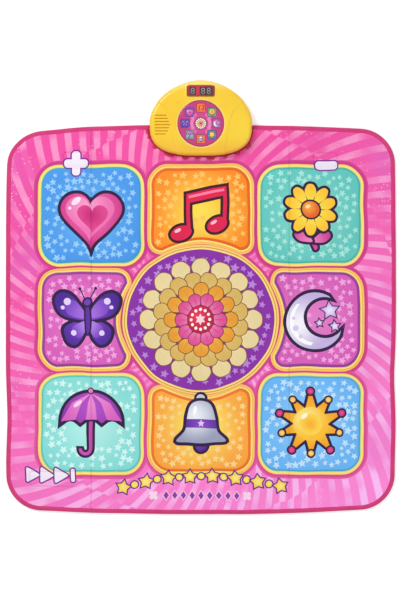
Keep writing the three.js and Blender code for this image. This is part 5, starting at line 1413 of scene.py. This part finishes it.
def opening(outline, steps, bottom):
    """Loops down through the roof. Each step says how far outside the opening and how far below the roof it
    lies, and each row of bottom how far outside and at what height."""
    brim = roof_level(inset(outline, -steps[0][0]))
    loops = []
    for grow, drop in steps:
        points = inset(outline, -grow)
        loops.append((points, add_loop(points, brim - drop)))
    for grow, z in bottom:
        points = inset(outline, -grow)
        loops.append((points, add_loop(points, z)))
    for a, b in zip(loops, loops[1:]):
        bridge(a[1], b[1])
    return loops[0], loops[-1]


def fillet(radius, steps=4):
    """Rows down a rounded rim."""
    turns = [k * math.pi / 2 / steps for k in range(steps + 1)]
    return [(radius * (1 - math.sin(t)), radius * (1 - math.cos(t))) for t in turns]


def with_ledge(width):
    """Rows of a ledge on which a disc or pane lies."""
    return [(0, LEDGE), (-width, LEDGE), (-width, CEILING)]


SLOT_SHARES = (0.76, 0.86, 0.92, 1, 0.92, 0.86, 0.74)
SLOT_LENGTH, SLOT_WIDTH, SLOT_PITCH, SLOT_LEFT = 35.5, 2.2, 7.25, -106.5
BEZEL = [(3.4, 0), (2.9, -0.12), (2.3, -0.42), (1.5, -0.55), (0.8, -0.5), (0.25, -0.25), (0, 0.15)]
SPEAKER_ROW = DIAL[1] - 3
openings = [opening(oval(*DIAL, 54.0, steps=128), fillet(1.1), with_ledge(2.9)),
            opening(round_box(*WINDOW, 65.2, 26.8, 4.8), BEZEL, with_ledge(1.6))]
for i, share in enumerate(SLOT_SHARES):
    length = SLOT_LENGTH * share
    slot = round_box(SLOT_LEFT + length / 2, SPEAKER_ROW + (3 - i) * SLOT_PITCH, length, SLOT_WIDTH, 1.099, 6)
    openings.append(opening(slot, fillet(0.5, 3), [(0, CEILING)]))
step_lines = []
for off in (-1.7, -1.1, -0.75, -0.4, 0, 0.4, 0.75, 1.1, 1.7):
    line = inset(FACE, off)
    depth = distance_inside(line, outside[-1][0])
    for side in (1, -1):
        step_lines.append([p for p, d in zip(line, depth) if d > 1.2 and p[0] * side > 0])
patch(outside[-1], [o[0] for o in openings], roof_level, 5.0, step_lines)
patch(within[0], [o[1] for o in openings], level_at(CEILING), 16.0, (), False)
print(len(openings), "openings in the roof,", len(shell_faces), "faces")

# %% [markdown]
# The plastic is a polished ABS. A plain colour would look like paint. Here light sinks a little way in,
# as some subsurface glow, and there is a clear gloss over a very faint orange-peel. Painted shade deepens
# the colour towards amber low on the walls and along the front, and a painted highlight makes it paler at
# the rear edge and on the lip round the dial. The speaker's slots have a woven dust cloth behind them, which
# is one flat sheet.


# %% Yellow plastic
def plastic(name, colour, deeper, roughness, coat=0.3, glow=0.0):
    """Moulded plastic with faint clouds of a deeper colour, an orange-peel and scuffs in its gloss."""
    material, shader = finish(name, colour, roughness, Coat_Weight=coat, Coat_Roughness=0.12,
                              Subsurface_Weight=glow, Subsurface_Scale=0.004)
    share = ramp(material, cloud(material, 14.0, 3.0), 0.35, 0.7)
    tint(material, shader, mixed(material, share, ink(colour), ink(deeper)))
    scuffed = ramp(material, cloud(material, 90.0, 6.0), 0.4, 0.75, roughness, roughness + 0.12)
    link(material, scuffed, shader.inputs["Roughness"])
    raise_grain(material, shader, cloud(material, 420.0), 0.12, 0.0002)
    return material, shader


yellow, yellow_shader = plastic("yellow_plastic", "#FAD32C", "#F7C820", 0.3, 0.35, 0.06)
east, north, up = (along_axis(yellow, axis) for axis in "XYZ")
from_dial = distance_from_middle(yellow, east, maths(yellow, "SUBTRACT", north, DIAL[1] * MM))
moulded = yellow_shader.inputs["Base Color"].links[0].from_socket
# painted highlight: paler along the rear edge of the roof
rear_highlight = mixed(yellow, ramp(yellow, north, 0.53, 0.552, 0.0, 0.75), moulded, ink("#FFEA92"))
# painted shade: deeper towards the front of the casing
shaded = mixed(yellow, ramp(yellow, north, 0.425, 0.395, 0.0, 0.6), rear_highlight, ink("#F0B02A"))
# painted highlight: a pale lip round the dial
dial_lip_highlight = mixed(yellow, ramp(yellow, from_dial, 0.0571, 0.0559, 0.0, 0.7), shaded, ink("#FFDDA0"))
# painted shade: deeper amber low on the walls
tint(yellow, yellow_shader, mixed(yellow, ramp(yellow, up, 0.012, 0.033), ink("#F5A91C"), dial_lip_highlight))

casing = object_of("casing_top", shell_vertices, shell_faces, yellow)
casing.data.set_sharp_from_angle(angle=math.radians(38))
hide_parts("upper_housing")
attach(casing, "mat")
print("casing faces", len(casing.data.polygons))

# %% Dust cloth of the speaker
DUST_LEVEL = 31.05
DUST_PLAN = round_box(-88, SPEAKER_ROW, 40, 50, 9)
dust_finish, dust_shader = finish("amber_dust_cloth", "#C98A1E", 0.85)
threads = node(dust_finish, "TexChecker", {"Vector": surface_place(dust_finish), "Scale": 1400.0,
                                           "Color1": ink("#F0B030"), "Color2": ink("#D8941C")})
tint(dust_finish, dust_shader, threads.outputs["Color"])
dust_cloth = object_of("speaker_dust_cloth", [(a * MM, b * MM, DUST_LEVEL * MM) for a, b in DUST_PLAN],
                       [list(range(len(DUST_PLAN)))], dust_finish, False)
thicken(dust_cloth, 0.12)
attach(dust_cloth, "mat")
print("room beside the dust cloth", distance_inside(DUST_PLAN, controller_outline()).min().round(1), "mm")

# %% [markdown]
# ## Dial and display
# The dial is one clear disc printed on its back: eight small pictures, the same as on the keys, lie in
# shallow windows over their lamps. The display is a red printed window with two smoked panes, behind which
# the bars of the unlit digits show grey. Both prints are cut as the cloth's print is, and the pictures are
# the keys' own outlines made about nine times smaller, so that dial and keys agree.

# %% Dial print
DIAL_RADIUS = 53.7
ICON_SCALE = 0.112
far, near = 36.4, 36.4 * math.sqrt(0.5)
ICONS = [(-near, near), (0, far), (near, near), (-far, 0), (far, 0), (-near, -near), (0, -far), (near, -near)]
ICON_INKS = [("#8C63CE", "#6F46B4"), ("#FF8A2A", "#F0661A"), ("#86C08C", "#5A9A78"), ("#7A55C8", "#5A3AA8"),
             ("#D873BE", "#B8489E"), ("#9AB8B8", "#7A9C9E"), ("#FF8A2A", "#F0661A"), ("#4D9AD0", "#2E74B0")]
sheet_print, PRINT = PRINT, []
paint(oval(*DIAL, DIAL_RADIUS - 2.2, steps=96), "#D9428F", "#C42C7C", DIAL, 54)


def paint_bands(middles, outer, inner, half, steps, colour):
    """Bands round the middle of the dial. middles and half are in quarter turns."""
    for middle in middles:
        start, end = middle - half, middle + half
        band = arc(0, 0, outer, start, end, steps) + arc(0, 0, inner, end, start, steps)
        paint(placed(band, *DIAL), colour)


paint_bands((0.5, 1.5, 2.5, 3.5), 27, 20.5, 0.2, 10, "#EE6DB0")
paint_bands((0, 2), 24.5, 17.5, 0.42, 14, "#F07CB8")
for number, ((dx, dy), (light, deep)) in enumerate(zip(ICONS, ICON_INKS)):
    x, y = DIAL[0] + dx, DIAL[1] + dy
    paint(round_box(x, y, 21.8, 21.8, 4.0), "#54204E")
    paint(round_box(x, y, 19.4, 19.4, 3.0), light, deep, (x, y), 13)
    key_x, key_y = CENTRES[number]
    for outline, inner_ink, outer_ink, middle, reach in sheet_print[FIRST_MOTIF:]:
        if max(math.dist(p, (key_x, key_y)) for p in outline) < 92:
            *small, spot = [(x + (a - key_x) * ICON_SCALE, y + (b - key_y) * ICON_SCALE)
                            for a, b in (*outline, middle)]
            PRINT.append((small, inner_ink, outer_ink, spot, reach * ICON_SCALE))
paint(oval(*DIAL, 14.6, steps=48), "#5E1F6C")
paint(oval(*DIAL, 13.4, steps=48), "#8E3A96", "#A34AA6", DIAL, 14)
SMALL_PETALS = [(14, 5.2, 4.6, 7.4, "#FBEFCB"), (12, 4.6, 4.0, 4.4, "#F3CE7C"), (8, 4.4, 3.4, 1.2, "#F08FC0")]
for count, length, width, start, colour in SMALL_PETALS:
    blade = petal(length, width, start)
    for i in range(count):
        paint(placed(blade, *DIAL, i * 360 / count), "#9A5A2A")
        paint(placed(inset(blade, 0.32), *DIAL, i * 360 / count), colour)
paint(oval(*DIAL, 2.6, steps=24), "#C81E4C")
dial_print, PRINT = PRINT, sheet_print
print(len(dial_print), "shapes on the dial")


# %% Dial disc
DIAL_TOP, DIAL_CROWN, DIAL_DROP, ICON_DEPTH = 35.1, 0.6, 0.9, 0.3


def icon_window(dx, dy, smaller=0):
    side = 20.4 - 2 * smaller
    return round_box(DIAL[0] + dx, DIAL[1] + dy, side, side, 3.4 - smaller)


def dial_level(points):
    p = np.asarray(points, float)
    out = np.hypot(p[:, 0] - DIAL[0], p[:, 1] - DIAL[1]) / DIAL_RADIUS
    z = DIAL_TOP + DIAL_CROWN * (1 - out**2) - DIAL_DROP * np.clip((out - 0.985) / 0.015, 0, 1) ** 2
    for dx, dy in ICONS:
        z -= ICON_DEPTH * np.clip(distance_inside(p, icon_window(dx, dy)) / 0.5, 0, 1)
    return z


glossy_print, glossy_shader = finish("printed_acrylic", "#D63384", 0.16, Coat_Weight=0.8, Coat_Roughness=0.05)
tone = maths(glossy_print, "MULTIPLY_ADD", cloud(glossy_print, 150.0, 4.0), 0.16, 0.92)
toned = node(glossy_print, "HueSaturation", {"Value": tone, "Color": print_colour(glossy_print)})
tint(glossy_print, glossy_shader, toned.outputs["Color"])
handled = ramp(glossy_print, cloud(glossy_print, 60.0, 5.0), 0.4, 0.8, 0.12, 0.3)
link(glossy_print, handled, glossy_shader.inputs["Roughness"])

rings = [icon_window(dx, dy, smaller) for dx, dy in ICONS for smaller in (0, 0.5)]
rings += [oval(*DIAL, DIAL_RADIUS - d, steps=128) for d in (0.3, 0.8)]
dial = printed("dial_disc", oval(*DIAL, DIAL_RADIUS, steps=128), dial_print, dial_level, [glossy_print],
               ink("#B4203E"), 2.6, (), rings)
thicken(dial, 1.3)
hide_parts("dial_lens")
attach(dial, "mat")
print("dial faces", len(dial.data.polygons))


# %% Display window
def digit(x, y):
    """The seven bars of one figure, each pointed at both ends."""
    bars = [(0, dy, 0) for dy in (6.1, 0, -6.1)] + [(dx, dy, 90) for dy in (3.1, -3.1) for dx in (-3.2, 3.2)]
    half, point = 2.7, 0.8
    bar_plan = [(-half, 0), (-half + point, -point), (half - point, -point),
                (half, 0), (half - point, point), (-half + point, point)]
    for dx, dy, turn in bars:
        paint(placed(bar_plan, x + dx, y + dy, turn), "#A9ADB6", "#8D929C", (x, y + 4), 10)


sheet_print, PRINT = PRINT, []
wx, wy = WINDOW
paint(round_box(wx, wy, 61.6, 23.2, 3.4), "#C9203F", "#A8162F", (wx - 6, wy + 4), 34)
for dx, width, reach in ((-18.8, 14.6, 12), (12.4, 30.6, 18)):
    paint(round_box(wx + dx, wy, width, 19.4, 2), "#3A1620", "#4C1E2A", (wx + dx, wy), reach)
for dx in (-18.8, 5.2, 18.4):
    digit(wx + dx, wy)
window_print, PRINT = PRINT, sheet_print
PANE = round_box(wx, wy, 64.6, 26.2, 4.5)
PANE_TOP = 34.7


def window_level(points):
    depth = distance_inside(points, PANE)
    return PANE_TOP + rise(depth, 0.15, 6) - 0.25 * np.clip(1 - depth / 0.5, 0, 1)


window = printed("display_pane", PANE, window_print, window_level, [glossy_print], ink("#8E1228"), 2.4, (),
                 [round_box(wx, wy, 63.6, 25.2, 4.0)])
thicken(window, 1.4)
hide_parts("display_window")
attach(window, "mat")
print("display faces", len(window.data.polygons))

# %% [markdown]
# ## Pads under the keys
# Each key is a slip of foam that carries a printed carbon patch. The pads are cut from the same plans as
# the tiles, a little smaller, and stacked from rows that draw in more and more towards the top. That
# rounds their upper edge even where the plan is hollow. They can't be seen, but they sink with the keys.


# %% Stack pads
def stacked(name, plan, levels, material):
    """A closed pad from plans drawn in by one distance at each level."""
    vertices = [(x * MM, y * MM, z * MM) for depth, z in levels for x, y in inset(plan, depth)]
    count = len(plan)
    rows = [list(range(row * count, (row + 1) * count)) for row in range(len(levels))]
    faces = [face for lower, upper in zip(rows, rows[1:]) for face in between(lower, upper)]
    return object_of(name, vertices, [*faces, rows[0][::-1], rows[-1]], material)


KEY_LEVELS = [(5.6, 5.42), (5.1, 5.6), (5.2, 6.0), (6.0, 6.6), (7.4, 7.05), (9.2, 7.18)]
SMALL_LEVELS = [(3.9, 5.42), (3.5, 5.6), (3.6, 6.0), (4.2, 6.6), (5.0, 7.0), (6.0, 7.15)]
pads = [(f"foam_pad_{i}", f"key_pad_{i}", plan, KEY_LEVELS, f"key_{i}") for i, plan in enumerate(TILES, 1)]
pads += [(f"foam_{name}", f"{name}_pad", plan, SMALL_LEVELS, body)
         for name, plan, body in zip(SMALL_NAMES, SMALL_KEYS, SMALL_BODIES)]
for name, replaced, plan, levels, body in pads:
    pad = stacked(name, plan, levels, white_foam)
    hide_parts(replaced)
    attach(pad, body)
print(len(pads), "foam pads")

# %% [markdown]
# ## Finishes of the solids that stay
# Screws, cells, springs, board, lamps, speaker, switch, door and lower casing keep their own solids, whose
# shapes are right. Each gets its finish from one table, by the name of its material, so that one line
# changes all the solids of a kind.


# %% Hard finishes
def metal(name, colour, roughness):
    """Plated metal, brushed and a little tarnished."""
    material, shader = finish(name, colour, roughness, Metallic=1.0)
    brushed = ramp(material, cloud(material, 900.0), 0.0, 1.0, roughness * 0.7, roughness * 1.5)
    link(material, brushed, shader.inputs["Roughness"])
    tint(material, shader, mixed(material, cloud(material, 120.0, 3.0), ink(colour), ink("#8E9094")))
    return material


def laminate():
    """Green board: solder mask over copper tracks."""
    material, shader = finish("green_board", "#1F6B45", 0.35, Coat_Weight=0.3)
    inks = {"Color1": ink("#1F6B45"), "Color2": ink("#247A50"), "Mortar": ink("#3C9A68")}
    place = {"Vector": surface_place(material), "Scale": 240.0, "Mortar Size": 0.03}
    tint(material, shader, node(material, "TexBrick", {**place, **inks}).outputs["Color"])
    return material


def tracked_film():
    """Clear polyester with silver tracks printed on it."""
    material, shader = finish("track_film", "#D5DCE0", 0.3, Coat_Weight=0.2)
    silver = ramp(material, stripes(material, "X", 26.0, 1.5), 0.86, 0.92)
    tint(material, shader, mixed(material, silver, ink("#D5DCE0"), ink("#8F979C")))
    return material


def sleeve():
    """A shrunk plastic sleeve with one plain band near its end."""
    material, shader = finish("cell_sleeve", "#3F6FB5", 0.28, Coat_Weight=0.4)
    length_share = node(material, "TexCoord").outputs["Generated"]
    along = node(material, "SeparateXYZ", {"Vector": length_share}).outputs["X"]
    blue = mixed(material, cloud(material, 500.0), ink("#3A68AC"), ink("#4676BE"))
    tint(material, shader, mixed(material, ramp(material, along, 0.2, 0.21), ink("#C9CCD2"), blue))
    return material


def paper():
    """Pressed black paper with a grain of fibres."""
    material, shader = finish("speaker_paper", "#2B2B2D", 0.9)
    fibres = cloud(material, 700.0, 5.0)
    tint(material, shader, mixed(material, fibres, ink("#232325"), ink("#3A3A3D")))
    raise_grain(material, shader, fibres, 0.4, 0.0002)
    return material


print("metal, board, film, sleeve and paper can be made")

# %% Dress the solids
FINISHES = {
    "yellow_case": yellow,
    "steel": metal("nickel_steel", "#BFC2C6", 0.28),
    "board": laminate(),
    "film": tracked_film(),
    "cell_sleeve": sleeve(),
    "cone": paper(),
    "carbon": plastic("carbon_print", "#26282C", "#303338", 0.6, 0.0)[0],
    "black_plastic": plastic("black_plastic", "#1C1D1F", "#26272A", 0.38, 0.1)[0],
    "diffuser": plastic("white_diffuser", "#F5F5F2", "#E9E9E4", 0.5, 0.0, 0.1)[0],
    "led_lens": plastic("lamp_lens", "#F2F4F6", "#E4E8EC", 0.15, 0.5, 0.1)[0],
    "display": plastic("display_grey", "#8F9097", "#7C7D84", 0.45, 0.0)[0],
}
dressed = 0
for name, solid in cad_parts.items():
    for place in solid.material_slots:
        if place.material and place.material.name in FINISHES:
            place.material = FINISHES[place.material.name]
            dressed += 1
print(dressed, "solids dressed")
